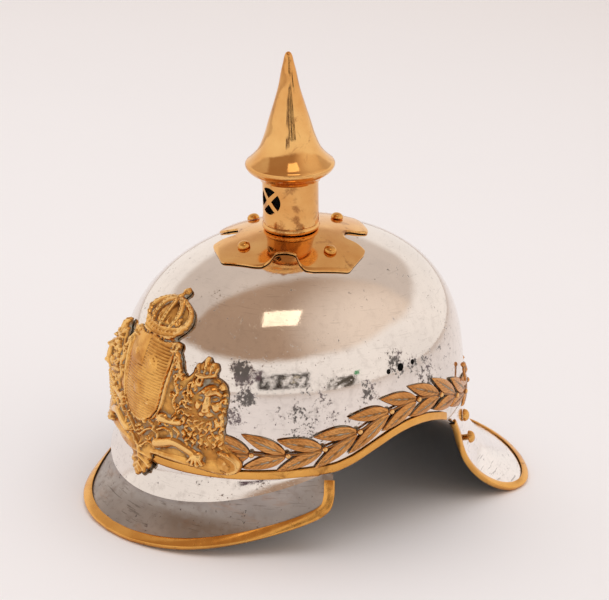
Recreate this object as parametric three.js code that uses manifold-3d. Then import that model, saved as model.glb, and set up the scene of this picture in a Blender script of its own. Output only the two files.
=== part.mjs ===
// Parade helmet of polished steel with a screw-in brass spike, a cast front plate with two crowned
// lions, leaf garlands along the ear arches, a flared visor and a lobster-tail neck guard.
// Millimetres, +Z up, the face side towards -Y, the wearer's left towards +X.

import * as THREE from 'three';
import { mergeVertices } from 'three/addons/utils/BufferGeometryUtils.js';
import Module from 'manifold-3d';

const wasm = await Module();
wasm.setup();

// ---------------------------------------------------------------- driving dimensions
// Skull: an oval bowl, measured in the helmet's own frame, where z = 0 is the brass band's lower edge
// and the spike stands on the Z axis.
const halfLength = 115; // along Y, outside
const halfWidth = 96; // along X, outside
const domeHeight = 116.1; // above the band's lower edge
const domePower = 3.23; // fullness of the crown
const sheet = 1.4; // skull wall
const flangeSheet = 1.2; // visor and neck guard wall
const tuckOffset = -2.85; // middle of a hidden flange, from the skull's outer surface
const airHole = 13; // radius of the hole under the spike
const clearance = 0.6; // between a fitting and the curved skull

// Front skirt and ear arches.
const skirtDrop = 18;
const skirtFlare = 8;
const skirtEnd = 65; // degrees from the front where the skirt ends
const lapHeight = 3.2; // lower edge of the skull behind the ears
const archCurve = [
  [65, 0],
  [68.6, 0.2],
  [73.5, 2.6],
  [77, 5.2],
  [80.4, 7.8],
  [84, 10.2],
  [87.8, 12.6],
  [91.8, 14],
  [96, 14.4],
  [100.6, 13.6],
  [105.8, 11.2],
  [111.8, 6.8],
  [116, 2.6],
  [118, 0],
]; // degrees, height

// Visor: half its lower edge, from the tip to the temple.
const visorEdge = [
  [0, -144.9, -37.8],
  [16.3, -143, -37.7],
  [33.3, -136.9, -37.4],
  [47.3, -127.7, -37],
  [57.8, -116.9, -36.3],
  [66.3, -104.9, -35.2],
  [73.8, -91.4, -33.6],
  [81.3, -76.4, -30.8],
  [87.8, -63.9, -27.2],
  [92.1, -56, -23.6],
  [94.3, -51.4, -19.4],
  [93.7, -48.2, -12.8],
  [91.3, -45.8, -6.3],
  [88.9, -43.4, -1.6],
];

// Neck guard: half its free edge from the ear to the back, each point with the angle above it where
// its sheet leaves the skull.
const guardEdge = [
  [86.4, 54.8, 1.6, 117.6],
  [85.4, 58.6, -2.6, 118.8],
  [84.8, 62.8, -12, 121],
  [84.5, 66, -24, 123.4],
  [84.3, 71.6, -34.6, 126.2],
  [84.3, 79.8, -45, 129.6],
  [84.6, 90, -54.4, 133.4],
  [85, 102, -62.2, 137.6],
  [84.6, 113.4, -66.6, 142.2],
  [80.4, 126.4, -68.6, 147.8],
  [70.6, 138, -69, 153.8],
  [55, 148.4, -68.8, 160.2],
  [37, 156.2, -68.6, 166.8],
  [18, 160.8, -68.4, 173.4],
  [0, 162.2, -68.3, 180],
];
const guardBelly = 0.6; // share of the drop before the sheet turns outwards
const lapTop = 12; // the guard's flange reaches this height inside the skull

// Brass edging, a folded channel over the sheet's edge.
const visorTrimWidth = () => 6.2;
const guardTrimWidth = { ear: 2.6, back: 4 };
const channelWall = 0.55;
const channelGap = 0.65;

// Band.
const bandWidth = 5.3;
const bandStart = 0.7; // gap to the skull
const bandThick = 0.9;
const bandEnd = 114.5;

// Garland: pairs of leaves whose tips point to the front, on a stem that follows the arch.
const leafPitch = 11.3; // degrees between leaf pairs
const firstTip = 38;
const leafReach = { up: 10, down: 9.6 };
const leafSteps = [
  [0, 1],
  [2.6, 0.92],
  [5.8, 0.73],
  [9, 0.52],
  [10.9, 0.44],
]; // degrees behind the tip, share of the reach
const garlandFrom = 41.4;
const garlandTo = 179.2;
const garlandPath = [
  [38, 17.6],
  [42.3, 16.6],
  [53, 15.4],
  [64, 16.6],
  [75, 22.8],
  [86, 29.8],
  [97, 31],
  [109, 25.8],
  [116, 20.6],
  [122.4, 14.6],
  [130, 9.6],
  [142, 7],
  [160, 6.4],
  [180, 6.4],
];

// Spike, neck and base.
const neckRadius = 17;
const neckBottom = 122.1;
const neckTop = 150.2;
const neckWall = 1;
const ringBottom = 118.7;
const ringTop = 121.8;
const ventHeight = 138.4;
const ventRadius = 8.4;
const ventSpoke = 2.4;
const spikeProfile = [
  [0, 228],
  [1.9, 226.2],
  [3.7, 216.4],
  [5.7, 206.4],
  [8.9, 196.4],
  [12.3, 186.4],
  [15.1, 176.4],
  [19.7, 168.4],
  [25, 163.4],
  [27.2, 158.8],
  [24.8, 154.4],
  [19.6, 151.6],
  [18.5, 149.4],
]; // radius, height
const basePlate = 1.2;
const baseHole = 13.5;
const baseCollar = 0.8; // how far the plate rises towards the neck
const armOutline = [
  [0, 54],
  [12, 50.4],
  [23.4, 49],
  [29.5, 47.8],
  [33, 43],
  [35, 34.2],
]; // degrees from the arm's axis, radius
const notchRadius = 32.3; // at 45 degrees
const studRadius = 36.8;
const studHead = 3.9;

// Small fittings.
const cockadeHoles = [
  [88.6, 1.6],
  [93.6, 2.4],
  [99, 1.6],
]; // degrees, hole radius
const cockadeHeight = 53.4;
const rivets = [
  { along: 0.46, down: 0.36, stem: 0.2 },
  { along: 0.37, down: 0.56, stem: 3.6 },
]; // places on the neck guard's sheet
const rivetHead = 4;
const pinAngle = 129;
const pinFoot = 19;
const pinTop = 29.5;

// How the helmet stands: tipped forward until the visor and the neck guard both touch.
const standingPitch = 6.42; // degrees
const standingLift = 55.25; // leaves a small flat, 0.3 mm deep, on both brass edgings
const standingShift = -14.5;

// Grid steps.
const ringSegments = 40;
const turnSegments = 24;
const visorColumns = 40;
const visorRows = 6;
const guardColumns = 40;
const guardRows = 9;
const plateColumns = 22;
const plateRows = 14;

// ---------------------------------------------------------------- helpers
const rad = THREE.MathUtils.degToRad;
const vec = (x, y, z) => new THREE.Vector3(x, y, z);
const standing = new THREE.Matrix4()
  .makeRotationX(rad(standingPitch))
  .setPosition(0, standingShift, standingLift);

function lookUp(table, at) {
  // Straight-line reading of a table of [position, value].
  if (at <= table[0][0]) return table[0][1];
  for (let i = 1; i < table.length; i++) {
    const [a, va] = table[i - 1];
    const [b, vb] = table[i];
    if (at <= b) return va + ((vb - va) * (at - a)) / (b - a);
  }
  return table[table.length - 1][1];
}

function fromGrid(grid, closeRows, closeColumns) {
  // A surface of quads over grid[row][column], as one indexed geometry.
  const rows = grid.length;
  const columns = grid[0].length;
  const flat = grid.flat();
  const index = [];
  const lastRow = closeRows ? rows : rows - 1;
  const lastColumn = closeColumns ? columns : columns - 1;
  for (let r = 0; r < lastRow; r++) {
    for (let c = 0; c < lastColumn; c++) {
      const r1 = (r + 1) % rows;
      const c1 = (c + 1) % columns;
      const a = r * columns + c;
      const b = r * columns + c1;
      const d = r1 * columns + c;
      const e = r1 * columns + c1;
      index.push(...quad(flat, a, b, e, d));
    }
  }
  if (!closeColumns) {
    // The two ends are capped with strips between opposite points of the closed section.
    for (const [c, flip] of [
      [0, false],
      [columns - 1, true],
    ]) {
      for (let k = 0; k < rows / 2 - 1; k++) {
        const a = k * columns + c;
        const b = (k + 1) * columns + c;
        const d = (rows - 1 - k) * columns + c;
        const e = (rows - 2 - k) * columns + c;
        if (flip) index.push(a, d, e, a, e, b);
        else index.push(a, e, d, a, b, e);
      }
    }
  }
  return facingOut(indexed(flat, index));
}

function quad(points, a, b, c, d) {
  // Splits a four-sided face along its shorter diagonal.
  const split = points[a].distanceTo(points[c]) <= points[b].distanceTo(points[d]);
  return split ? [a, b, c, a, c, d] : [a, b, d, b, c, d];
}

function indexed(points, index) {
  const position = points.flatMap((p) => [p.x, p.y, p.z]);
  const geometry = new THREE.BufferGeometry();
  geometry.setAttribute('position', new THREE.Float32BufferAttribute(position, 3));
  geometry.setIndex(index);
  return geometry;
}

function facingOut(geometry) {
  // Turns the faces round when the enclosed volume comes out negative.
  const p = geometry.attributes.position;
  const index = geometry.index.array;
  let volume = 0;
  const [a, b, c] = [vec(), vec(), vec()];
  for (let i = 0; i < index.length; i += 3) {
    a.fromBufferAttribute(p, index[i]);
    b.fromBufferAttribute(p, index[i + 1]);
    c.fromBufferAttribute(p, index[i + 2]);
    volume += a.dot(b.cross(c));
  }
  if (volume < 0) {
    for (let i = 0; i < index.length; i += 3) [index[i], index[i + 1]] = [index[i + 1], index[i]];
  }
  return geometry;
}

function welded(geometry) {
  const bare = geometry.clone();
  bare.deleteAttribute('normal');
  bare.deleteAttribute('uv');
  return mergeVertices(bare, 1e-4);
}

function solid(geometry) {
  const merged = welded(geometry);
  const vertProperties = new Float32Array(merged.attributes.position.array);
  const triVerts = new Uint32Array(merged.index.array);
  return new wasm.Manifold(new wasm.Mesh({ numProp: 3, vertProperties, triVerts }));
}

function surface(manifold) {
  const mesh = manifold.getMesh();
  const geometry = new THREE.BufferGeometry();
  geometry.setAttribute('position', new THREE.BufferAttribute(mesh.vertProperties, 3));
  geometry.setIndex(new THREE.BufferAttribute(mesh.triVerts, 1));
  return geometry;
}

function cut(geometry, tools) {
  let body = solid(geometry);
  for (const tool of tools) body = body.subtract(solid(tool));
  return surface(body);
}

function standingFlat(geometry) {
  // Takes off what would reach below the table when the helmet stands.
  const table = new THREE.BoxGeometry(400, 400, 40);
  table.translate(0, 0, -20);
  table.applyMatrix4(standing.clone().invert());
  return cut(geometry, [table]);
}

function rodAlong(from, to, radius, sides) {
  const rod = new THREE.CylinderGeometry(radius, radius, from.distanceTo(to), sides);
  const turn = new THREE.Quaternion().setFromUnitVectors(vec(0, 1, 0), to.clone().sub(from).normalize());
  rod.applyQuaternion(turn);
  rod.translate(...from.clone().add(to).multiplyScalar(0.5));
  return rod;
}

function lathe(profile, segments) {
  const points = profile.map(([r, z]) => new THREE.Vector2(r, z));
  const geometry = new THREE.LatheGeometry(points, segments);
  geometry.rotateX(Math.PI / 2);
  return facingOut(welded(geometry));
}

// ---------------------------------------------------------------- skull surface
function sectionScale(z) {
  const t = Math.min(Math.max(z / domeHeight, 0), 1);
  return Math.sqrt(Math.max(1 - t ** domePower, 0));
}

function skullPoint(degrees, z, offset = 0) {
  // A point of the bowl at an angle from the front, moved out along the surface normal.
  const g = sectionScale(z);
  const s = Math.sin(rad(degrees));
  const c = Math.cos(rad(degrees));
  const p = vec(halfWidth * g * s, -halfLength * g * c, z);
  if (!offset) return p;
  const up = z > 0 ? (domePower / domeHeight) * (z / domeHeight) ** (domePower - 1) : 0;
  const n = vec((2 * g * s) / halfWidth, (-2 * g * c) / halfLength, up).normalize();
  return p.addScaledVector(n, offset);
}

function skirt(degrees) {
  // 1 at the front, falling to 0 where the skirt runs into the band.
  const a = Math.abs(degrees);
  return a < skirtEnd ? Math.cos((Math.PI / 2) * (a / skirtEnd)) : 0;
}

function skullEdge(degrees) {
  const a = Math.abs(degrees > 180 ? 360 - degrees : degrees);
  if (a < skirtEnd) return -skirtDrop * skirt(a);
  return Math.max(lookUp(archCurve, a), a > 100 ? lapHeight : 0);
}

function skirtPoint(degrees, share, offset) {
  // Below the band the front wall leans out: share runs from 0 at the band to 1 at the lower edge.
  const z = -skirtDrop * skirt(degrees) * share;
  const lean = skirtFlare * skirt(degrees) ** 0.8 * share ** 1.2;
  return skullPoint(degrees, 0, offset + lean).setZ(z);
}

function insideSkirt(degrees, z) {
  // A point of the surface that the visor's hidden flange follows behind the skirt.
  if (z >= 0) return skullPoint(degrees, z, tuckOffset);
  return skirtPoint(degrees, -z / (skirtDrop * skirt(degrees)), tuckOffset);
}

function heightsUp() {
  // Heights of the bowl's rows above the band, closer together towards the crown.
  const rows = [];
  for (let i = 1; i <= 10; i++) rows.push(domeHeight * Math.sin(rad(8.2 * i)) ** (2 / domePower));
  const rim = domeHeight * (1 - (airHole / halfWidth) ** 2) ** (1 / domePower);
  return rows.filter((z) => z > 24 && z < rim - 0.6);
}

function ringAngles() {
  return Array.from({ length: ringSegments }, (_, i) => (360 / ringSegments) * i);
}

function wrap(degrees) {
  return degrees > 180 ? degrees - 360 : degrees;
}

function skullRow(make) {
  return ringAngles().map((a) => make(wrap(a)));
}

function crownPoint(degrees, radius, lift) {
  // A point over the top of the bowl, by its angle and distance from the Z axis.
  const x = radius * Math.sin(rad(degrees));
  const y = -radius * Math.cos(rad(degrees));
  const g2 = (x / halfWidth) ** 2 + (y / halfLength) ** 2;
  return vec(x, y, domeHeight * (1 - g2) ** (1 / domePower) + lift);
}

function crownNormal(degrees, radius) {
  const across = crownPoint(degrees + 1, radius, 0).sub(crownPoint(degrees - 1, radius, 0));
  const outward = crownPoint(degrees, radius + 1, 0).sub(crownPoint(degrees, radius - 1, 0));
  return outward.cross(across).normalize();
}

function airHoleRow(offset) {
  return skullRow((a) => crownPoint(a, airHole, offset));
}

function skullWall(offset) {
  // Rows from the lower edge up to the air hole, on one side of the wall.
  const low = (a) => Math.max(skullEdge(a), 0);
  const rows = [
    skullRow((a) => (skirt(a) > 0 ? skirtPoint(a, 1, offset) : skullPoint(a, low(a), offset))),
    skullRow((a) => (skirt(a) > 0 ? skirtPoint(a, 0.5, offset) : skullPoint(a, low(a) + 1.5, offset))),
    skullRow((a) => skullPoint(a, low(a) + (skirt(a) > 0 ? 0 : 3), offset)),
  ];
  for (const z of heightsUp()) rows.push(skullRow((a) => skullPoint(a, z, offset)));
  rows.push(airHoleRow(offset));
  return rows;
}

function skullGeometry() {
  const outer = skullWall(0);
  const inner = skullWall(-sheet);
  const shell = fromGrid([...outer, ...inner.reverse()], true, true);
  const drills = [];
  for (const [angle, radius] of cockadeHoles) {
    for (const side of [1, -1]) {
      const out = skullPoint(side * angle, cockadeHeight, 6);
      const deep = skullPoint(side * angle, cockadeHeight, -8);
      drills.push(rodAlong(deep, out, radius, 10));
    }
  }
  return cut(shell, drills);
}

// ---------------------------------------------------------------- sheets and their edging
function sheetSolid(point, columns, rows, thickness) {
  // A wall of even thickness about point(u, v), with u and v running from 0 to 1.
  const side = (sign) => {
    const grid = [];
    for (let r = 0; r <= rows; r++) {
      const row = [];
      for (let c = 0; c <= columns; c++) {
        const [u, v] = [c / columns, r / rows];
        row.push(point(u, v).addScaledVector(normalAt(point, u, v), (sign * thickness) / 2));
      }
      grid.push(row);
    }
    return grid;
  };
  return fromGrid([...side(1), ...side(-1).reverse()], true, false);
}

function normalAt(point, u, v) {
  const d = 2e-3;
  const [u0, u1] = [Math.max(u - d, 0), Math.min(u + d, 1)];
  const [v0, v1] = [Math.max(v - d, 0), Math.min(v + d, 1)];
  const along = point(u1, v).sub(point(u0, v));
  const down = point(u, v1).sub(point(u, v0));
  return along.cross(down).normalize();
}

function sheetUnder(point, u, v, target) {
  // The sheet's nearest place to a target, by Newton steps from (u, v).
  const step = 2e-3;
  for (let turn = 0; turn < 12; turn++) {
    const away = target.clone().sub(point(u, v));
    const du = point(u + step, v).sub(point(u - step, v)).divideScalar(2 * step);
    const dv = point(u, v + step).sub(point(u, v - step)).divideScalar(2 * step);
    const [a, b, c] = [du.dot(du), du.dot(dv), dv.dot(dv)];
    const [p, q] = [du.dot(away), dv.dot(away)];
    const scale = 1 / (a * c - b * b);
    u = THREE.MathUtils.clamp(u + scale * (c * p - b * q), step, 1 - step);
    v = THREE.MathUtils.clamp(v + scale * (a * q - b * p), 0.5, 1 - step);
  }
  return [u, v];
}

function channelTrim(point, columns, ends, widthAt) {
  // A folded channel along the edge v = 1 of a sheet. Its section is a U that opens inwards, and its
  // two legs follow the sheet.
  const half = flangeSheet / 2 + channelGap;
  const out = half + channelWall;
  const between = Array.from({ length: columns - 1 }, (_, i) => (i + 1) / columns);
  const stations = [ends, ...between.filter((u) => u > ends && u < 1 - ends), 1 - ends];
  const frameAt = (u) => {
    const step = 2e-3;
    const edge = point(u, 1);
    const ahead = point(Math.min(u + step, 1), 1).sub(point(Math.max(u - step, 0), 1));
    const face = normalAt(point, u, 1);
    return { edge, face, inward: face.clone().cross(ahead).normalize() };
  };
  const middle = frameAt(0.5);
  const sign = Math.sign(middle.inward.dot(point(0.5, 0.9).sub(middle.edge)));
  const rows = Array.from({ length: 8 }, () => []);
  for (const u of stations) {
    const { edge, face, inward } = frameAt(u);
    const leg = edge.clone().addScaledVector(inward, sign * widthAt(u));
    const under = sheetUnder(point, u, 0.9, leg);
    const foot = point(...under);
    const lean = normalAt(point, ...under);
    const lip = edge.clone().addScaledVector(inward, -sign * channelGap);
    const rim = edge.clone().addScaledVector(inward, -sign * (channelGap + channelWall));
    [
      [rim, face, -out],
      [foot, lean, -out],
      [foot, lean, -half],
      [lip, face, -half],
      [lip, face, half],
      [foot, lean, half],
      [foot, lean, out],
      [rim, face, out],
    ].forEach(([from, way, by], k) => rows[k].push(from.clone().addScaledVector(way, by)));
  }
  return closedChannel(rows);
}

function closedChannel(rows) {
  // Caps the U section at both ends: its two legs and its web are three convex parts.
  const columns = rows[0].length;
  const caps = [
    [0, 1, 2],
    [0, 2, 3],
    [0, 3, 4],
    [0, 4, 7],
    [4, 5, 6],
    [4, 6, 7],
  ];
  const flat = rows.flat();
  const at = (k, column) => (k % rows.length) * columns + column;
  const index = [];
  for (let k = 0; k < rows.length; k++) {
    for (let c = 0; c < columns - 1; c++) {
      index.push(...quad(flat, at(k, c), at(k, c + 1), at(k + 1, c + 1), at(k + 1, c)));
    }
  }
  for (const [a, b, c] of caps) {
    index.push(at(a, 0), at(b, 0), at(c, 0));
    index.push(at(a, columns - 1), at(c, columns - 1), at(b, columns - 1));
  }
  return facingOut(indexed(flat, index));
}

// ---------------------------------------------------------------- visor
const smooth = (points) => new THREE.CatmullRomCurve3(points, false, 'centripetal');
const visorCurve = smooth(visorEdge.map((p) => vec(...p)));

function bezier(a, b, c, t) {
  const p = a.clone().multiplyScalar((1 - t) ** 2);
  p.addScaledVector(b, 2 * t * (1 - t));
  return p.addScaledVector(c, t * t);
}

function visorPoint(u, v) {
  // u runs from the wearer's right to the left, v from the hidden upper edge down to the rim.
  const side = u < 0.5 ? -1 : 1;
  const s = Math.abs(2 * u - 1);
  const angle = skirtEnd * Math.min(s * 1.02, 1);
  const lower = visorCurve.getPointAt(s);
  const tuck = skirtPoint(angle, 1, tuckOffset);
  const upper = insideSkirt(angle, tuck.z + 4.5 - 3.4 * s);
  const bend = tuck.clone().setZ(tuck.z + 0.5 * (lower.z - tuck.z));
  const turn = 1 / visorRows;
  const p = v < turn ? upper.lerp(tuck, v / turn) : bezier(tuck, bend, lower, (v - turn) / (1 - turn));
  p.x *= side;
  return p;
}

// ---------------------------------------------------------------- neck guard
const guardCurve = smooth(guardEdge.map(([x, y, z]) => vec(x, y, z)));

function guardTop(s) {
  const at = s * (guardEdge.length - 1);
  return lookUp(guardEdge.map((p, i) => [i, p[3]]), at);
}

function guardPoint(u, v) {
  // u runs round the back from the wearer's left to the right, v from the hidden flange to the rim.
  const side = u < 0.5 ? 1 : -1;
  const s = 1 - Math.abs(2 * u - 1);
  const angle = guardTop(s);
  const low = guardCurve.getPoint(s);
  const seam = lapHeight - 1.2;
  const turn = lookUp([[0, 0], [1 / guardRows, 1], [2 / guardRows, 2], [1, 3]], v);
  let p;
  if (turn <= 1) p = skullPoint(angle, lapTop + (seam - lapTop) * turn, tuckOffset);
  else if (turn <= 2) p = skullPoint(angle, seam - 0.5 * (turn - 1), tuckOffset).lerp(guardRoot(angle), turn - 1);
  else {
    const root = guardRoot(angle);
    const bend = root.clone().setZ(root.z + guardBelly * (low.z - root.z));
    p = bezier(root, bend, low, turn - 2);
  }
  p.x *= side;
  return p;
}

function guardTrim(u) {
  const share = THREE.MathUtils.smoothstep(1 - Math.abs(2 * u - 1), 0.3, 0.75);
  return THREE.MathUtils.lerp(guardTrimWidth.ear, guardTrimWidth.back, share);
}

function guardRoot(angle) {
  return skullPoint(angle, lapHeight - 1.7, -flangeSheet / 2);
}

// ---------------------------------------------------------------- band and garland
function bandGeometry() {
  const bandSteps = 61;
  const section = [
    [0, bandStart],
    [0, bandStart + bandThick],
    [bandWidth, bandStart + bandThick],
    [bandWidth, bandStart],
  ];
  const rows = section.map(([up, offset]) => {
    const row = [];
    for (let i = 0; i <= bandSteps; i++) {
      const a = -bandEnd + (2 * bandEnd * i) / bandSteps;
      row.push(skullPoint(a, lookUp(archCurve, Math.abs(a)) + up, offset));
    }
    return row;
  });
  return fromGrid(rows, true, false);
}

function garlandGeometry(side) {
  // A strip along the stem, whose upper and lower edges rise to a point at each leaf's tip.
  const middle = smooth(garlandPath.map(([a, z]) => vec(a, z, 0)));
  const table = middle.getPoints(160).map((p) => [p.x, p.y]);
  const stations = [[garlandFrom, 0.5]];
  for (let tip = firstTip; tip < garlandTo; tip += leafPitch) {
    for (const [behind, share] of leafSteps) stations.push([tip + behind, share]);
  }
  const kept = stations.filter(([a]) => a >= garlandFrom && a < garlandTo);
  kept.sort((p, q) => p[0] - q[0]);
  kept.push([garlandTo, 0.44]);
  const rows = [[], [], [], [], [], []];
  for (const [a, share] of kept) {
    const up = leafReach.up * share;
    const down = -leafReach.down * share;
    const z = lookUp(table, a);
    const across = [
      [down, clearance],
      [down, clearance + 1],
      [0, clearance + 2],
      [up, clearance + 1],
      [up, clearance],
      [0, clearance],
    ];
    across.forEach(([rise, offset], k) => rows[k].push(skullPoint(side * a, z + rise, offset)));
  }
  return fromGrid(rows, true, false);
}

// ---------------------------------------------------------------- front plate
const plateRelief = [
  [0, 50, 19, 25, 1.4],
  [0, 83, 18, 9, 1.6],
  [43, 43, 11, 14, 4.6],
  [39.5, 64, 7, 6, 1.2],
  [38, 16, 24, 11, 1.4],
]; // raised masses: x, z, half width, half height, how far they stand out
const plateBack = 0.65;
const plateOverBand = 2.1;
const plateThick = 1.5;
const plateOutline = [
  [0, 97.3],
  [3, 95.8],
  [1.8, 93.2],
  [8.7, 91.8],
  [13.5, 90.2],
  [17.2, 87.6],
  [19.8, 84.4],
  [18.4, 80.8],
  [13.2, 75.2],
  [18.4, 74],
  [22.8, 68.4],
  [26, 63.6],
  [30.3, 58.2],
  [32.9, 64],
  [34.6, 67.6],
  [37.6, 71],
  [41.8, 68.6],
  [46.2, 65],
  [45.9, 60.8],
  [51, 56.8],
  [54, 50.4],
  [54.9, 41.9],
  [55, 24],
  [57.7, 18.6],
  [62.1, 14.2],
  [63.4, 10.4],
  [62, 6.2],
  [58.8, 3.7],
  [53.5, 3],
  [45.5, 4.6],
  [36.6, 6.1],
  [26.4, 7],
  [9.6, 7.6],
  [9.4, -2.6],
  [5.6, -8.2],
  [0, -9.6],
]; // half outline as x, z

function plateGeometry() {
  const rows = [];
  for (const side of [1, -1]) {
    const grid = [];
    for (let r = 0; r <= plateRows; r++) {
      const z = -11 + (110 * r) / plateRows;
      const row = [];
      for (let c = 0; c <= plateColumns; c++) {
        const x = -66 + (132 * c) / plateColumns;
        const reach = (halfWidth + 3) * Math.max(sectionScale(z), 0.55);
        const angle = THREE.MathUtils.radToDeg(Math.asin(THREE.MathUtils.clamp(x / reach, -0.95, 0.95)));
        const relief = plateRelief.reduce((sum, [px, pz, rx, rz, h]) => {
          const d = ((Math.abs(x) - px) / rx) ** 2 + ((z - pz) / rz) ** 2;
          return sum + h * Math.max(1 - d, 0);
        }, 0);
        const lift = THREE.MathUtils.lerp(plateOverBand, plateBack, THREE.MathUtils.smoothstep(z, 7, 13));
        const back = lift + skirtFlare * (Math.max(-z, 0) / skirtDrop) ** 1.2;
        row.push(skullPoint(angle, z, side > 0 ? back + plateThick + relief : back));
      }
      grid.push(row);
    }
    rows.push(...(side > 0 ? grid : grid.reverse()));
  }
  const slab = fromGrid(rows, true, false);
  const shape = new THREE.Shape();
  const right = plateOutline;
  const left = plateOutline.slice(1, -1).reverse().map(([x, z]) => [-x, z]);
  [...right, ...left].forEach(([x, z], i) => (i ? shape.lineTo(x, z) : shape.moveTo(x, z)));
  const prism = new THREE.ExtrudeGeometry(shape, { depth: 150, bevelEnabled: false });
  prism.rotateX(Math.PI / 2);
  return surface(solid(slab).intersect(solid(prism)));
}

// ---------------------------------------------------------------- spike group
function baseGeometry() {
  const otherHalf = armOutline.slice(1).reverse().map(([a, r]) => [90 - a, r]);
  const arm = [...armOutline, [45, notchRadius], ...otherHalf];
  const around = [0, 1, 2, 3].flatMap((k) => arm.map(([a, r]) => [a + 90 * k, r]));
  const shares = [0, 0.16, 0.5, 0.76, 1];
  const side = (lift) =>
    shares.map((share) =>
      around.map(([a, r]) => {
        const reach = baseHole + (r - baseHole) * share;
        const collar = baseCollar * Math.max(0, 1 - (reach - baseHole) / 14) ** 1.5;
        return crownPoint(a, reach, clearance + collar + lift);
      }),
    );
  return fromGrid([...side(basePlate), ...side(0).reverse()], true, true);
}

function ringGeometry() {
  const middle = (ringBottom + ringTop) / 2;
  const profile = [
    [15, ringBottom],
    [16.8, ringBottom],
    [17.6, middle],
    [17, ringTop],
    [15, ringTop],
    [15, ringBottom],
  ];
  return lathe(profile, turnSegments);
}

function ventTool(turn, back) {
  // One of four sector windows round the group's centre.
  const shape = new THREE.Shape();
  const half = rad(45) - Math.asin(ventSpoke / 2 / ventRadius);
  const start = (ventSpoke / 2) * Math.SQRT2 * 1.2;
  shape.moveTo(start * Math.cos(turn), start * Math.sin(turn));
  shape.absarc(0, 0, ventRadius, turn - half, turn + half, false);
  const tool = new THREE.ExtrudeGeometry(shape, { depth: 14, bevelEnabled: false, curveSegments: 5 });
  tool.rotateX(Math.PI / 2);
  tool.translate(0, back ? 24 : -10, ventHeight);
  return tool;
}

function neckGeometry() {
  const profile = [
    [neckRadius - neckWall, neckBottom],
    [neckRadius, neckBottom],
    [neckRadius, neckTop],
    [neckRadius - neckWall, neckTop],
    [neckRadius - neckWall, neckBottom],
  ];
  const windows = [];
  for (const back of [false, true]) {
    for (let k = 0; k < 4; k++) windows.push(ventTool((Math.PI / 2) * k, back));
  }
  return cut(lathe(profile, turnSegments), windows);
}

function spikeGeometry() {
  const inner = [
    [neckRadius + 0.5, 149.4],
    [neckRadius + 0.5, 152],
    [23, 156.5],
    [23.5, 161],
    [17, 167.5],
    [12.6, 176],
    [9.4, 187],
    [3.6, 206],
    [0, 214],
  ];
  return lathe([...spikeProfile, ...inner], turnSegments);
}

// ---------------------------------------------------------------- domed heads
function domedHead(radius, height, stem, at, along) {
  const profile = [[0, -stem]];
  if (stem > 0) profile.push([radius * 0.5, -stem], [radius * 0.5, 0]);
  profile.push([radius, 0], [radius * 0.82, height * 0.6], [radius * 0.42, height * 0.93], [0, height]);
  const head = lathe(profile, 10);
  head.applyQuaternion(new THREE.Quaternion().setFromUnitVectors(vec(0, 0, 1), along));
  head.translate(...at);
  return head;
}

function studGeometry(angle) {
  const foot = crownPoint(angle, studRadius, clearance + basePlate + 0.6);
  return domedHead(studHead, 3.2, 0, foot, crownNormal(angle, studRadius));
}

function rivetGeometry(side, { along, down, stem }) {
  const u = side > 0 ? along / 2 : 1 - along / 2;
  const p = guardPoint(u, down);
  const face = normalAt(guardPoint, u, down);
  if (face.x * side < 0) face.negate();
  p.addScaledVector(face, flangeSheet / 2 + 0.5 + stem);
  return domedHead(rivetHead, 3.4, stem, p, face);
}

function pinGeometry(side) {
  // A little berry on a stalk that stands up behind the garland.
  const foot = skullPoint(side * pinAngle, pinFoot, 3.6);
  const top = skullPoint(side * pinAngle, pinTop, 2.6);
  const stalk = solid(rodAlong(foot, top, 0.8, 8));
  const berry = new THREE.SphereGeometry(1.6, 10, 8);
  berry.translate(...top);
  return surface(stalk.add(solid(berry)));
}

// ---------------------------------------------------------------- assembly
const helmet = new THREE.Group();
const body = new THREE.Group();
body.applyMatrix4(standing);
helmet.add(body);

const metals = {
  nickel: { color: 0xc9c0b8, roughness: 0.12, metalness: 1 },
  brass: { color: 0xcf9438, roughness: 0.25, metalness: 1 },
  tombak: { color: 0xc47a45, roughness: 0.3, metalness: 1 },
  bright: { color: 0xdba05c, roughness: 0.14, metalness: 1 },
};

function place(name, geometry, metal) {
  const mesh = new THREE.Mesh(geometry, new THREE.MeshStandardMaterial(metals[metal]));
  mesh.name = name;
  body.add(mesh);
}

const sides = [
  ['left', 1],
  ['right', -1],
];

place('skull', skullGeometry(), 'nickel');
place('front_visor', sheetSolid(visorPoint, visorColumns, visorRows, flangeSheet), 'nickel');
place('visor_trim', standingFlat(channelTrim(visorPoint, visorColumns, 1 / visorColumns, visorTrimWidth)), 'brass');
place('neck_guard', sheetSolid(guardPoint, guardColumns, guardRows, flangeSheet), 'nickel');
place('neck_trim', standingFlat(channelTrim(guardPoint, guardColumns, 1 / guardColumns, guardTrim)), 'brass');
place('edge_band', bandGeometry(), 'brass');
for (const [name, side] of sides) place(`garland_${name}`, garlandGeometry(side), 'tombak');
place('front_plate', plateGeometry(), 'brass');
place('spike_base', baseGeometry(), 'bright');
place('neck_ring', ringGeometry(), 'bright');
place('vent_neck', neckGeometry(), 'bright');
place('spike', spikeGeometry(), 'bright');
['front', 'left', 'back', 'right'].forEach((name, k) => place(`base_stud_${name}`, studGeometry(90 * k), 'brass'));
for (const [name, side] of sides) {
  place(`upper_rivet_${name}`, rivetGeometry(side, rivets[0]), 'brass');
  place(`lower_rivet_${name}`, rivetGeometry(side, rivets[1]), 'brass');
  place(`berry_pin_${name}`, pinGeometry(side), 'tombak');
}

export default helmet;
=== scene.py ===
import math

import bpy
import numpy as np
from mathutils import Matrix, Vector


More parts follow.
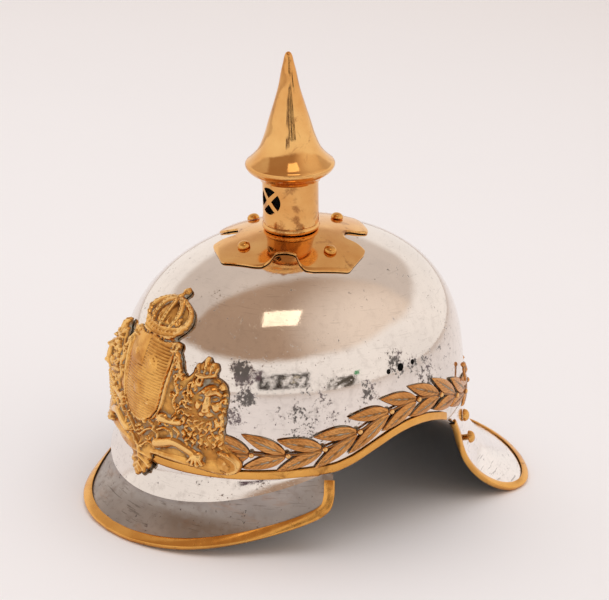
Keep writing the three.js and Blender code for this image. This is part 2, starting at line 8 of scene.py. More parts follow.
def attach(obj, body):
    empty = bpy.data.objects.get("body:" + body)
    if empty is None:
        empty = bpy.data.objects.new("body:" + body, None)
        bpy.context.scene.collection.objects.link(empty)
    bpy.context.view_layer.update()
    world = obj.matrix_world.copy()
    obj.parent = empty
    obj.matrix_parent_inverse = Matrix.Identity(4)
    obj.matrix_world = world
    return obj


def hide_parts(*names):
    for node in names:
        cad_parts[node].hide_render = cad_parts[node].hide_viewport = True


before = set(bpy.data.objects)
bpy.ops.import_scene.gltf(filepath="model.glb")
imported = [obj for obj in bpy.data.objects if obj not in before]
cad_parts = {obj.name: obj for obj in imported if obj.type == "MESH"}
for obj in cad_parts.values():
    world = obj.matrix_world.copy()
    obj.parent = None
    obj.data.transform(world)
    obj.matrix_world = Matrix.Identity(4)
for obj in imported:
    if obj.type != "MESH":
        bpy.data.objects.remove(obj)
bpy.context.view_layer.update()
print("helmet frame loaded")

# All shapes are worked out in the helmet's own frame, in millimetres: z = 0 is the brass band's lower
# edge, the spike stands on the Z axis and the face side looks towards -Y. toRow() then tips the helmet
# forward as it stands and turns millimetres into metres.
stance = {"pitch": 6.42, "lift": 55.25, "shift": -14.5}
pitchCos = math.cos(math.radians(stance["pitch"]))
pitchSin = math.sin(math.radians(stance["pitch"]))


def turned(p):
    p = np.asarray(p, float)
    y = pitchCos * p[..., 1] - pitchSin * p[..., 2]
    z = pitchSin * p[..., 1] + pitchCos * p[..., 2]
    return np.stack([p[..., 0], y, z], -1)


def toRow(p):
    return (turned(p) + np.array([0, stance["shift"], stance["lift"]])) / 1000


# small tools for meshes

def smoothStep(x, low, high):
    t = np.clip((np.asarray(x, float) - low) / (high - low), 0, 1)
    return t * t * (3 - 2 * t)


def unit(v):
    return v / np.maximum(np.linalg.norm(v, axis=-1, keepdims=True), 1e-12)


def gridFaces(rows, columns, closeRows=False, closeColumns=False):
    r = np.arange(rows if closeRows else rows - 1)
    c = np.arange(columns if closeColumns else columns - 1)
    r, c = np.meshgrid(r, c, indexing="ij")
    r1, c1 = (r + 1) % rows, (c + 1) % columns
    quads = np.stack([r * columns + c, r * columns + c1, r1 * columns + c1, r1 * columns + c], -1)
    return quads.reshape(-1, 4).tolist()


def ringCaps(rows, columns):
    # flat ends of a closed section that runs along the columns
    first = [k * columns for k in range(rows)]
    last = [k * columns + columns - 1 for k in range(rows)]
    return [first, last[::-1]]


def stripFaces(grid):
    # faces of a closed section carried along a path
    rows, columns = grid.shape[:2]
    return gridFaces(rows, columns, True, False) + ringCaps(rows, columns)


def volumeOf(points, faces):
    total = 0.0
    for size in {len(f) for f in faces}:
        index = np.array([f for f in faces if len(f) == size])
        a = points[index[:, 0]]
        for k in range(1, size - 1):
            total += np.einsum("ij,ij->", a, np.cross(points[index[:, k]], points[index[:, k + 1]]))
    return total


def makeMesh(name, points, faces, materials):
    # points in metres in the row frame; faces are turned outwards as a whole
    points = np.asarray(points, float).reshape(-1, 3)
    if volumeOf(points, faces) < 0:
        faces = [list(reversed(f)) for f in faces]
    mesh = bpy.data.meshes.new(name)
    mesh.from_pydata(points.tolist(), [], faces)
    for material in materials:
        mesh.materials.append(material)
    mesh.polygons.foreach_set("use_smooth", [True] * len(mesh.polygons))
    mesh.update()
    piece = bpy.data.objects.new(name, mesh)
    bpy.context.scene.collection.objects.link(piece)
    return piece


def settled(piece, nodes):
    # every finished piece rides with the helmet and stands for its CAD nodes
    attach(piece, "root")
    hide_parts(*nodes)
    print("  ", piece.name, len(piece.data.polygons), "faces")
    return piece


def sharpEdges(piece, degrees=35):
    piece.data.set_sharp_from_angle(angle=math.radians(degrees))


def boredBy(piece, cutter):
    # cuts the cutter's volume out of the piece for good
    modifier = piece.modifiers.new("bore", "BOOLEAN")
    modifier.operation = "DIFFERENCE"
    modifier.solver = "EXACT"
    modifier.object = cutter
    graph = bpy.context.evaluated_depsgraph_get()
    result = bpy.data.meshes.new_from_object(piece.evaluated_get(graph), depsgraph=graph)
    piece.modifiers.clear()
    old = piece.data
    piece.data = result
    bpy.data.meshes.remove(old)
    bpy.data.objects.remove(cutter)


def pathCurve(points, count, even=True):
    # centripetal spline through points, at even parameter steps or at even lengths
    p = np.asarray(points, float)
    last = len(p) - 1
    at = np.linspace(0, last, 1201)
    i = np.minimum(at.astype(int), last - 1)
    w = (at - i)[:, None]
    padded = np.vstack([2 * p[0] - p[1], p, 2 * p[-1] - p[-2]])
    p0, p1, p2, p3 = padded[i], padded[i + 1], padded[i + 2], padded[i + 3]
    d0 = np.maximum(np.sqrt(np.linalg.norm(p1 - p0, axis=1)), 1e-4)[:, None]
    d1 = np.maximum(np.sqrt(np.linalg.norm(p2 - p1, axis=1)), 1e-4)[:, None]
    d2 = np.maximum(np.sqrt(np.linalg.norm(p3 - p2, axis=1)), 1e-4)[:, None]
    t1 = ((p1 - p0) / d0 - (p2 - p0) / (d0 + d1) + (p2 - p1) / d1) * d1
    t2 = ((p2 - p1) / d1 - (p3 - p1) / (d1 + d2) + (p3 - p2) / d2) * d1
    curve = p1 + t1 * w + (-3 * p1 + 3 * p2 - 2 * t1 - t2) * w**2 + (2 * p1 - 2 * p2 + t1 + t2) * w**3
    if even:
        length = np.concatenate([[0], np.cumsum(np.linalg.norm(np.diff(curve, axis=0), axis=1))])
        share = length / length[-1]
    else:
        share = at / last
    want = np.linspace(0, 1, count)
    return np.stack([np.interp(want, share, curve[:, k]) for k in range(p.shape[1])], -1)


# shader tools

def newMaterial(name):
    material = bpy.data.materials.new(name)
    material.use_nodes = True
    tree = material.node_tree
    tree.nodes.clear()
    output = tree.nodes.new("ShaderNodeOutputMaterial")
    shader = tree.nodes.new("ShaderNodeBsdfPrincipled")
    tree.links.new(shader.outputs[0], output.inputs[0])
    coords = tree.nodes.new("ShaderNodeTexCoord")
    return material, tree, shader, coords.outputs["Object"]


def feed(tree, socket, value):
    if isinstance(value, bpy.types.NodeSocket):
        tree.links.new(value, socket)
    elif isinstance(value, (tuple, list)) and len(value) == 3 and socket.type == "RGBA":
        socket.default_value = (*value, 1)
    else:
        socket.default_value = value


def maths(tree, operation, a, b=0.0):
    node = tree.nodes.new("ShaderNodeMath")
    node.operation = operation
    feed(tree, node.inputs[0], a)
    feed(tree, node.inputs[1], b)
    return node.outputs[0]


def times(tree, a, b):
    return maths(tree, "MULTIPLY", a, b)


def plus(tree, a, b):
    return maths(tree, "ADD", a, b)


def minus(tree, a, b):
    return maths(tree, "SUBTRACT", a, b)


def larger(tree, a, b):
    return maths(tree, "MAXIMUM", a, b)


def noise(tree, coords, scale, detail=4.0, rough=0.55, stretch=None, distortion=0.0):
    if stretch:
        mapping = tree.nodes.new("ShaderNodeMapping")
        mapping.inputs["Scale"].default_value = stretch
        tree.links.new(coords, mapping.inputs["Vector"])
        coords = mapping.outputs[0]
    node = tree.nodes.new("ShaderNodeTexNoise")
    node.inputs["Scale"].default_value = scale
    node.inputs["Detail"].default_value = detail
    node.inputs["Roughness"].default_value = rough
    node.inputs["Distortion"].default_value = distortion
    tree.links.new(coords, node.inputs["Vector"])
    return node.outputs[0]


def cells(tree, coords, scale):
    node = tree.nodes.new("ShaderNodeTexVoronoi")
    node.inputs["Scale"].default_value = scale
    tree.links.new(coords, node.inputs["Vector"])
    return node.outputs["Distance"]


def between(tree, value, low, high, outLow=0.0, outHigh=1.0):
    node = tree.nodes.new("ShaderNodeMapRange")
    node.interpolation_type = "SMOOTHSTEP"
    feed(tree, node.inputs["Value"], value)
    node.inputs["From Min"].default_value = low
    node.inputs["From Max"].default_value = high
    node.inputs["To Min"].default_value = outLow
    node.inputs["To Max"].default_value = outHigh
    return node.outputs["Result"]


def blendColour(tree, factor, a, b, mode="MIX"):
    node = tree.nodes.new("ShaderNodeMix")
    node.data_type = "RGBA"
    node.blend_type = mode
    feed(tree, node.inputs[0], factor)
    feed(tree, node.inputs[6], a)
    feed(tree, node.inputs[7], b)
    return node.outputs[2]


def bumped(tree, height, strength, distance, normal=None):
    node = tree.nodes.new("ShaderNodeBump")
    node.inputs["Strength"].default_value = strength
    node.inputs["Distance"].default_value = distance
    tree.links.new(height, node.inputs["Height"])
    if normal:
        tree.links.new(normal, node.inputs["Normal"])
    return node.outputs[0]


def nearPlace(tree, coords, place, radius, soft=0.6):
    # 1 within a place on the helmet, fading out to its radius; place in metres in the row frame
    node = tree.nodes.new("ShaderNodeVectorMath")
    node.operation = "DISTANCE"
    tree.links.new(coords, node.inputs[0])
    node.inputs[1].default_value = tuple(float(v) for v in place)
    return between(tree, node.outputs["Value"], radius, radius * (1 - soft))


def heightOf(tree, coords):
    node = tree.nodes.new("ShaderNodeSeparateXYZ")
    tree.links.new(coords, node.inputs[0])
    return node.outputs


# the bowl that every fitting follows

bowlShape = {
    "halfLength": 115.0,
    "halfWidth": 96.0,
    "height": 116.1,
    "power": 3.23,
    "sheet": 1.4,
    "flangeSheet": 1.2,
    "airHole": 13.0,
    "skirtDrop": 18.0,
    "skirtFlare": 8.0,
    "skirtEnd": 65.0,
    "lapHeight": 3.2,
    "tuck": -2.85,
}
archDegrees = [65, 68.6, 73.5, 77, 80.4, 84, 87.8, 91.8, 96, 100.6, 105.8, 111.8, 116, 118, 180]
archHeights = [0, 0.2, 2.6, 5.2, 7.8, 10.2, 12.6, 14, 14.4, 13.6, 11.2, 6.8, 2.6, 0, 0]


def bowl(angle, z, offset=0.0):
    angle, z, offset = np.broadcast_arrays(np.radians(angle), np.asarray(z, float), offset)
    length, width = bowlShape["halfLength"], bowlShape["halfWidth"]
    power, height = bowlShape["power"], bowlShape["height"]
    t = np.clip(z / height, 0, 1)
    g = np.sqrt(np.clip(1 - t**power, 0, None))
    s, c = np.sin(angle), np.cos(angle)
    point = np.stack([width * g * s, -length * g * c, z], -1)
    slope = (power / height) * t ** (power - 1)
    normal = unit(np.stack([2 * g * s / width, -2 * g * c / length, slope], -1))
    return point + normal * np.asarray(offset, float)[..., None]


def crown(angle, radius, lift=0.0):
    # over the top of the bowl, by angle and distance from the spike's axis
    angle, radius, lift = np.broadcast_arrays(np.radians(angle), np.asarray(radius, float), lift)
    x, y = radius * np.sin(angle), -radius * np.cos(angle)
    g2 = (x / bowlShape["halfWidth"]) ** 2 + (y / bowlShape["halfLength"]) ** 2
    z = bowlShape["height"] * np.clip(1 - g2, 0, 1) ** (1 / bowlShape["power"])
    return np.stack([x, y, z + lift], -1)


archTable = np.linspace(0, 200, 1601)
archSmooth = np.interp(archTable, archDegrees, archHeights)
archSmooth = np.convolve(np.pad(archSmooth, 12, mode="edge"), np.ones(25) / 25, mode="valid")


def arch(angle):
    return np.interp(np.abs(angle), archTable, archSmooth)


def skirt(angle):
    a = np.abs(angle)
    return np.where(a < bowlShape["skirtEnd"], np.cos(np.pi / 2 * np.minimum(a / bowlShape["skirtEnd"], 1)), 0)


def lowerEdge(angle):
    a = np.abs(angle)
    rear = np.maximum(arch(a), np.where(a > 100, bowlShape["lapHeight"], 0))
    return np.where(a < bowlShape["skirtEnd"], -bowlShape["skirtDrop"] * skirt(a), rear)


def skirtPoint(angle, share, offset):
    share = np.asarray(share, float)
    z = -bowlShape["skirtDrop"] * skirt(angle) * share
    lean = bowlShape["skirtFlare"] * skirt(angle) ** 0.8 * share**1.2
    p = bowl(angle, 0.0, offset + lean)
    p[..., 2] = z
    return p


# metals

tarnishAndShadowMarks = {
    # angle from the front, height, radius of the mark in mm, how dark
    # the three marks beside the plate are tarnish made heavier as painted shadow of the plate
    "plateSide": (38.5, 64, 13, 1.5),
    "plateSideLow": (40, 50, 12, 1.3),
    "plateEdge": (36.5, 38, 11, 1.2),
    "middle": (62, 48, 14, 0.55),
    "belowHoles": (80, 45, 12, 1.0),
    "holes": (92, 55, 13, 1.25),
    "holesFar": (99, 52, 12, 0.7),
    "rightPits": (104, 40, 22, 0.75),
    "lowField": (60, 34, 32, 0.6),
    "aboveGarland": (75, 34, 13, 0.6),
    "rightRim": (118, 50, 24, 0.45),
    "otherHoles": (-92, 55, 14, 0.8),
    "otherSide": (-60, 40, 26, 0.5),
    "back": (178, 40, 30, 0.45),
    "collar": (46, -4, 10, 1.0),
}


def pittedSteel(name, look, marks=()):
    material, tree, shader, coords = newMaterial(name)
    brightness, roughness = look["brightness"], look["roughness"]
    cloud = noise(tree, coords, 22, 5, 0.6)
    fine = noise(tree, coords, 210, 4, 0.6)
    height = heightOf(tree, coords)[2]
    worn = between(tree, height, 0.17, 0.10, 0.1, 1.0)  # the lower half of the bowl is the more worn
    # dark tarnish, with painted shadow of the plate in the marks beside it: thick over the marks, thin elsewhere,
    # always broken up
    thick = 0.0
    for angle, z, radius, depth in marks:
        spot = times(tree, nearPlace(tree, coords, toRow(bowl(angle, z)), radius / 1000, 0.9), depth)
        thick = spot if thick == 0.0 else larger(tree, thick, spot)
    cover = noise(tree, coords, 130, 8, 0.72, distortion=0.4)
    specks = noise(tree, coords, 520, 4, 0.7)
    mixed = plus(tree, times(tree, cover, 0.55), times(tree, specks, 0.45))
    if marks:
        mixed = plus(tree, mixed, times(tree, thick, 0.125))
    mixed = plus(tree, mixed, times(tree, worn, look["wear"]))
    dark = between(tree, mixed, 0.595, 0.665)
    pits = between(tree, cells(tree, coords, 480), 0.17, 0.07)
    few = between(tree, noise(tree, coords, 80, 3, 0.6), 0.54, 0.64)
    pits = times(tree, times(tree, pits, few), worn)
    dark = larger(tree, dark, times(tree, pits, look["pits"]))
    scratch = noise(tree, coords, 60, 6, 0.6, stretch=(1.0, 1.0, 16.0))
    scratch = times(tree, between(tree, scratch, 0.60, 0.66), look["scratches"])
    warm = tuple(brightness * v for v in look["warm"])
    cool = tuple(brightness * v for v in look["cool"])
    colour = blendColour(tree, between(tree, cloud, 0.35, 0.65), warm, cool)
    veil = times(tree, between(tree, fine, 0.48, 0.70), worn)
    colour = blendColour(tree, times(tree, veil, look["veil"]), colour, (0.36, 0.31, 0.28))
    rust = between(tree, noise(tree, coords, 38, 5, 0.65, stretch=(1, 1, 3.5)), 0.56, 0.68)
    colour = blendColour(tree, times(tree, rust, look["rust"]), colour, (0.36, 0.19, 0.10))
    colour = blendColour(tree, scratch, colour, (0.20, 0.17, 0.15))
    purple = between(tree, noise(tree, coords, 70, 2, 0.5), 0.42, 0.6)
    grime = blendColour(tree, purple, (0.03, 0.025, 0.025), (0.085, 0.055, 0.07))
    colour = blendColour(tree, times(tree, dark, 0.84), colour, grime)
    tree.links.new(colour, shader.inputs["Base Color"])
    shader.inputs["Metallic"].default_value = 1
    rough = plus(tree, roughness, times(tree, between(tree, fine, 0.42, 0.75), roughness * 0.9))
    rough = plus(tree, rough, times(tree, dark, 0.4))
    tree.links.new(rough, shader.inputs["Roughness"])
    wave = bumped(tree, noise(tree, coords, 30, 2, 0.5), 0.13, 0.0012)
    grain = bumped(tree, noise(tree, coords, 900, 2, 0.5), 0.05, 0.0002, wave)
    eaten = minus(tree, 1.0, dark)
    tree.links.new(bumped(tree, eaten, 0.35, 0.0002, grain), shader.inputs["Normal"])
    return material


def brassMetal(name, look, marks=()):
    # marks are places that were never wiped clean: place in the helmet's frame, radius in mm, depth
    material, tree, shader, coords = newMaterial(name)
    fine = noise(tree, coords, 260, 4, 0.6)
    mottled = between(tree, noise(tree, coords, look["mottling"], 5, 0.6), 0.35, 0.68)
    colour = blendColour(tree, mottled, look["bright"], look["deep"])
    edge = noise(tree, coords, 85, 6, 0.7, distortion=0.5)
    for place, radius, depth in marks:
        spot = times(tree, nearPlace(tree, coords, toRow(place), radius / 1000, 0.95), 0.17 * depth)
        edge = plus(tree, edge, spot)
    patches = between(tree, edge, 0.56, 0.72)
    colour = blendColour(tree, times(tree, patches, look["stain"]), colour, look["grime"])
    specks = between(tree, cells(tree, coords, 700), 0.16, 0.06)
    specks = times(tree, specks, between(tree, fine, 0.52, 0.64))
    colour = blendColour(tree, times(tree, specks, look["specks"]), colour, (0.07, 0.035, 0.02))
    tree.links.new(colour, shader.inputs["Base Color"])
    shader.inputs["Metallic"].default_value = 1
    uneven = times(tree, between(tree, fine, 0.4, 0.75), look["roughness"] * 0.7)
    rough = plus(tree, look["roughness"], uneven)
    rough = plus(tree, rough, times(tree, patches, 0.2))
    tree.links.new(rough, shader.inputs["Roughness"])
    wave = bumped(tree, noise(tree, coords, 75, 2, 0.5), look["dents"], 0.0004)
    tree.links.new(bumped(tree, noise(tree, coords, 1100, 2, 0.5), 0.06, 0.0001, wave), shader.inputs["Normal"])
    return material


def castBrass(name, look):
    # the attribute "hollow" is 1 in the recesses and 0 on the high places
    material, tree, shader, coords = newMaterial(name)
    hollow = tree.nodes.new("ShaderNodeAttribute")
    hollow.attribute_name = "hollow"
    fine = noise(tree, coords, 420, 5, 0.65)
    cloud = noise(tree, coords, 60, 4, 0.6)
    colour = blendColour(tree, between(tree, cloud, 0.35, 0.65), look["bright"], look["deep"])
    start, full = look["reach"]
    ragged = times(tree, minus(tree, fine, 0.5), 0.45)
    depth = plus(tree, hollow.outputs["Fac"], ragged)
    shadeAndTarnishBrown = between(tree, depth, start - 0.22, full - 0.1)  # painted shade in the low places, with the tarnish that polish never reached there
    colour = blendColour(tree, times(tree, shadeAndTarnishBrown, 0.85), colour, (0.17, 0.075, 0.022))
    green = between(tree, depth, start + 0.06, full + 0.04)
    green = times(tree, green, between(tree, noise(tree, coords, 130, 3, 0.6), 0.40, 0.55))
    colour = blendColour(tree, green, colour, look["patina"])
    high = between(tree, depth, 0.38, 0.16)  # rubbed bright on the tops
    colour = blendColour(tree, times(tree, high, 0.6), colour, (0.98, 0.66, 0.27))
    tree.links.new(colour, shader.inputs["Base Color"])
    tree.links.new(minus(tree, 1.0, times(tree, green, 0.8)), shader.inputs["Metallic"])
    rough = plus(tree, look["roughness"], times(tree, shadeAndTarnishBrown, 0.22))
    rough = plus(tree, rough, times(tree, green, 0.3))
    tree.links.new(rough, shader.inputs["Roughness"])
    tree.links.new(bumped(tree, fine, 0.10, 0.0002), shader.inputs["Normal"])
    return material


steelLook = {
    "brightness": 1.0, "roughness": 0.06, "wear": 0.012, "pits": 0.9, "scratches": 0.12, "veil": 0.22, "rust": 0.0,
    "warm": (0.88, 0.81, 0.75), "cool": (0.80, 0.74, 0.69),
}
visorLook = {
    "brightness": 0.50, "roughness": 0.33, "wear": 0.010, "pits": 0.8, "scratches": 0.7, "veil": 0.5, "rust": 0.25,
    "warm": (0.88, 0.77, 0.70), "cool": (0.70, 0.62, 0.57),
}
guardLook = {
    "brightness": 1.08, "roughness": 0.12, "wear": 0.0, "pits": 0.6, "scratches": 0.45, "veil": 0.1, "rust": 0.08,
    "warm": (0.88, 0.83, 0.80), "cool": (0.82, 0.78, 0.76),
}
edgingLook = {
    "dents": 0.10, "mottling": 30, "roughness": 0.17, "stain": 0.55, "specks": 0.55,
    "bright": (0.84, 0.44, 0.11), "deep": (0.66, 0.30, 0.065), "grime": (0.20, 0.08, 0.025),
}
spikeLook = {
    "dents": 0.03, "mottling": 18, "roughness": 0.085, "stain": 0.65, "specks": 0.45,
    "bright": (0.88, 0.52, 0.19), "deep": (0.72, 0.34, 0.10), "grime": (0.26, 0.09, 0.03),
}
studLook = {
    "dents": 0.10, "mottling": 60, "roughness": 0.15, "stain": 0.5, "specks": 0.6,
    "bright": (0.82, 0.44, 0.12), "deep": (0.58, 0.26, 0.06), "grime": (0.16, 0.06, 0.02),
}
plateLook = {
    "roughness": 0.11, "reach": (0.68, 1.0),  # how low a place has to be to take the brown painted shade and tarnish
    "bright": (0.84, 0.45, 0.12), "deep": (0.58, 0.25, 0.055), "patina": (0.42, 0.40, 0.32),
}
leafLook = {
    "roughness": 0.17, "reach": (0.62, 0.92),
    "bright": (0.74, 0.36, 0.12), "deep": (0.58, 0.25, 0.075), "patina": (0.42, 0.39, 0.30),
}
spikeMarks = [
    # on the four-armed base
    (crown(45, 37), 12, 1.0), (crown(45, 26), 9, 0.5), (crown(135, 36), 12, 0.8),
    (crown(-45, 36), 12, 0.8), (crown(225, 36), 12, 0.8),
    # down the neck, in a line
    ((13.8, -10, 147), 4, 1.0), ((14.6, -8.8, 141), 4, 0.9), ((14.8, -8.2, 135), 4, 0.9),
    ((14.8, -8.2, 129), 3.5, 0.7),
    # round the neck's foot and top
    ((8, -15, 123.5), 7, 0.8), ((15, -8, 123), 7, 0.7), ((-8, -15, 124), 7, 0.7), ((16, 6, 123.5), 6, 0.8),
    ((8, -15.5, 151), 5, 0.6), ((-4, -16.8, 136), 6, 0.45), ((12, -12, 118), 10, 0.6),
]
polishedSteel = pittedSteel("polishedSteel", steelLook, list(tarnishAndShadowMarks.values()))
visorSteel = pittedSteel("visorSteel", visorLook)
guardSteel = pittedSteel("guardSteel", guardLook)
edgingBrass = brassMetal("edgingBrass", edgingLook)
spikeBrass = brassMetal("spikeBrass", spikeLook, spikeMarks)
studBrass = brassMetal("studBrass", studLook)
plateBrass = castBrass("plateBrass", plateLook)
leafBrass = castBrass("leafBrass", leafLook)


def paintedShadeLining():
    # the sheet's hidden side, brown-black and dull: painted shade for the shaded inside of the helmet
    material, tree, shader, coords = newMaterial("innerPaintedShade")
    patches = between(tree, noise(tree, coords, 45, 4), 0.4, 0.6)
    tint = blendColour(tree, patches, (0.012, 0.011, 0.010), (0.03, 0.026, 0.022))
    tree.links.new(tint, shader.inputs["Base Color"])
    shader.inputs["Roughness"].default_value = 0.75
    tree.links.new(bumped(tree, noise(tree, coords, 400, 4), 0.3, 0.0004), shader.inputs["Normal"])
    return material


innerPaintedShade = paintedShadeLining()
print("metals made")


# skull

skullDetail = {
    "columns": 320,
    "skirtRows": 12,
    "bowlRows": 84,
    "cockade": [(88.6, 1.6), (93.6, 2.4), (99.0, 1.6)],  # angle, hole radius
    "cockadeHeight": 53.4,
}


def skullWall(offset):
    angle = np.linspace(-180, 180, skullDetail["columns"], endpoint=False)
    low = np.maximum(lowerEdge(angle), 0)
    rows = []
    for share in np.linspace(1, 0, skullDetail["skirtRows"], endpoint=False):
        front = skirtPoint(angle, share, offset)
        rear = bowl(angle, low + 4 * (1 - share), offset)
        rows.append(np.where((skirt(angle) > 0)[:, None], front, rear))
    start = np.where(skirt(angle) > 0, 0.0, low + 4)
    hole = bowlShape["airHole"] / bowlShape["halfWidth"]
    rim = bowlShape["height"] * (1 - hole**2) ** (1 / bowlShape["power"])
    top = math.asin((rim / bowlShape["height"]) ** (bowlShape["power"] / 2))
    for t in np.linspace(0, 1, skullDetail["bowlRows"], endpoint=False):
        base = np.arcsin((start / bowlShape["height"]) ** (bowlShape["power"] / 2))
        phi = base + (top - base) * t
        z = bowlShape["height"] * np.sin(phi) ** (2 / bowlShape["power"])
        linear = start + (rim - start) * t
        mix = smoothStep(t, 0.0, 0.35)
        rows.append(bowl(angle, z * mix + np.minimum(linear, z + 60) * (1 - mix), offset))
    rows.append(crown(angle, bowlShape["airHole"], offset))
    return np.array(rows)


def prismFaces(sides):
    # two rings of points, one after the other, closed by flat ends
    return gridFaces(2, sides, closeColumns=True) + [list(range(sides)), list(range(sides, 2 * sides))[::-1]]


def rod(start, end, radius, sides=24):
    start, end = Vector(start), Vector(end)
    along = (end - start).normalized()
    side = along.orthogonal().normalized()
    other = along.cross(side)
    turns = np.linspace(0, 2 * math.pi, sides, endpoint=False)
    ring = [(math.cos(a) * side + math.sin(a) * other) * radius for a in turns]
    points = [start + r for r in ring] + [end + r for r in ring]
    return np.array(points), prismFaces(sides)


def joined(parts):
    points, faces, base = [], [], 0
    for p, f in parts:
        points.append(np.asarray(p, float).reshape(-1, 3))
        faces += [[i + base for i in face] for face in f]
        base += len(points[-1])
    return np.concatenate(points), faces


def outwardPart(points, faces):
    points = np.asarray(points, float).reshape(-1, 3)
    if volumeOf(points, faces) < 0:
        faces = [list(reversed(f)) for f in faces]
    return points, faces


def buildSkull():
    outer, inner = skullWall(0.0), skullWall(-bowlShape["sheet"])
    grid = np.concatenate([outer, inner[::-1]])
    rows, columns = grid.shape[:2]
    faces = gridFaces(rows, columns, True, True)
    skull = makeMesh("skullBowl", toRow(grid), faces, [polishedSteel, innerPaintedShade])
    drills = []
    for angle, radius in skullDetail["cockade"]:
        for side in (1, -1):
            ends = toRow(bowl(side * angle, skullDetail["cockadeHeight"], np.array([6.0, -8.0])))
            drills.append(outwardPart(*rod(ends[0], ends[1], radius / 1000)))
    points, faces = joined(drills)
    boredBy(skull, makeMesh("drills", points, faces, [polishedSteel]))
    # the hidden side of the sheet gets the painted shade
    mesh = skull.data
    centre = np.zeros(len(mesh.polygons) * 3)
    normal = np.zeros(len(mesh.polygons) * 3)
    mesh.polygons.foreach_get("center", centre)
    mesh.polygons.foreach_get("normal", normal)
    centre, normal = centre.reshape(-1, 3), normal.reshape(-1, 3)
    middle = toRow(np.array([0, 0, 20.0]))
    inward = np.einsum("ij,ij->i", centre - middle, normal) < 0
    mesh.polygons.foreach_set("material_index", inward.astype(np.int32))
    mesh.update()
    sharpEdges(skull, 40)
    return settled(skull, ["skull"])


buildSkull()


# visor and neck guard, with their edging

visorRim = [
    (0, -144.9, -37.8), (16.3, -143, -37.7), (33.3, -136.9, -37.4), (47.3, -127.7, -37), (57.8, -116.9, -36.3),
    (66.3, -104.9, -35.2), (73.8, -91.4, -33.6), (81.3, -76.4, -30.8), (87.8, -63.9, -27.2), (92.1, -56, -23.6),
    (94.3, -51.4, -19.4), (93.7, -48.2, -12.8), (91.3, -45.8, -6.3), (88.9, -43.4, -1.6),
]
guardRim = [
    (86.4, 54.8, 1.6, 117.6), (85.4, 58.6, -2.6, 118.8), (84.8, 62.8, -12, 121), (84.5, 66, -24, 123.4),
    (84.3, 71.6, -34.6, 126.2), (84.3, 79.8, -45, 129.6), (84.6, 90, -54.4, 133.4), (85, 102, -62.2, 137.6),
    (84.6, 113.4, -66.6, 142.2), (80.4, 126.4, -68.6, 147.8), (70.6, 138, -69, 153.8), (55, 148.4, -68.8, 160.2),
    (37, 156.2, -68.6, 166.8), (18, 160.8, -68.4, 173.4), (0, 162.2, -68.3, 180),
]  # x, y, z and the angle where the sheet leaves the skull
sheets = {
    "visorColumns": 220,
    "visorRows": 40,
    "visorTurn": 1 / 6,  # share of the sheet that hides behind the skirt
    "guardColumns": 240,
    "guardRows": 54,
    "guardTurns": (1 / 9, 2 / 9),
    "guardBelly": 0.6,
    "lapTop": 12.0,
}
visorTable = pathCurve(visorRim, 401)
guardTable = pathCurve([p[:3] for p in guardRim], 401, even=False)


def fromTable(table, share):
    want = np.linspace(0, 1, len(table))
    return np.stack([np.interp(share, want, table[:, k]) for k in range(3)], -1)


def bezier(a, b, c, t):
    t = np.asarray(t)[..., None]
    return a * (1 - t) ** 2 + b * 2 * t * (1 - t) + c * t * t


def insideSkirt(angle, z):
    drop = np.maximum(bowlShape["skirtDrop"] * skirt(angle), 1e-6)
    front = skirtPoint(angle, np.clip(-z / drop, 0, 1), bowlShape["tuck"])
    front[..., 2] = z
    return np.where((z >= 0)[..., None], bowl(angle, np.maximum(z, 0), bowlShape["tuck"]), front)


def visorPoint(u, v):
    u, v = np.broadcast_arrays(np.asarray(u, float), np.asarray(v, float))
    s = np.abs(2 * u - 1)
    angle = bowlShape["skirtEnd"] * np.minimum(s * 1.02, 1)
    lower = fromTable(visorTable, s)
    tuck = skirtPoint(angle, 1.0, bowlShape["tuck"])
    upper = insideSkirt(angle, tuck[..., 2] + 4.5 - 3.4 * s)
    bend = tuck.copy()
    bend[..., 2] = tuck[..., 2] + 0.5 * (lower[..., 2] - tuck[..., 2])
    turn = sheets["visorTurn"]
    hidden = upper + (tuck - upper) * np.clip(v / turn, 0, 1)[..., None]
    shown = bezier(tuck, bend, lower, np.clip((v - turn) / (1 - turn), 0, 1))
    p = np.where((v < turn)[..., None], hidden, shown)
    p[..., 0] *= np.where(u < 0.5, -1, 1)
    return p


def guardPoint(u, v):
    u, v = np.broadcast_arrays(np.asarray(u, float), np.asarray(v, float))
    s = 1 - np.abs(2 * u - 1)
    angle = np.interp(s, np.linspace(0, 1, len(guardRim)), [p[3] for p in guardRim])
    low = fromTable(guardTable, s)
    seam = bowlShape["lapHeight"] - 1.2
    first, second = sheets["guardTurns"]
    root = bowl(angle, bowlShape["lapHeight"] - 1.7, -bowlShape["flangeSheet"] / 2)
    t0 = np.clip(v / first, 0, 1)
    t1 = np.clip((v - first) / (second - first), 0, 1)
    hidden = bowl(angle, sheets["lapTop"] + (seam - sheets["lapTop"]) * t0, bowlShape["tuck"])
    step = bowl(angle, seam - 0.5 * t1, bowlShape["tuck"])
    step = step + (root - step) * smoothStep(t1, 0, 1)[..., None]
    bend = root.copy()
    bend[..., 2] = root[..., 2] + sheets["guardBelly"] * (low[..., 2] - root[..., 2])
    shown = bezier(root, bend, low, np.clip((v - second) / (1 - second), 0, 1))
    p = np.where((v < first)[..., None], hidden, np.where((v < second)[..., None], step, shown))
    p[..., 0] *= np.where(u < 0.5, 1, -1)
    return p


def sheetNormal(point, u, v):
    d = 2e-3
    u0, u1 = np.clip(u - d, 0, 1), np.clip(u + d, 0, 1)
    v0, v1 = np.clip(v - d, 0, 1), np.clip(v + d, 0, 1)
    return unit(np.cross(point(u1, v) - point(u0, v), point(u, v1) - point(u, v0)))


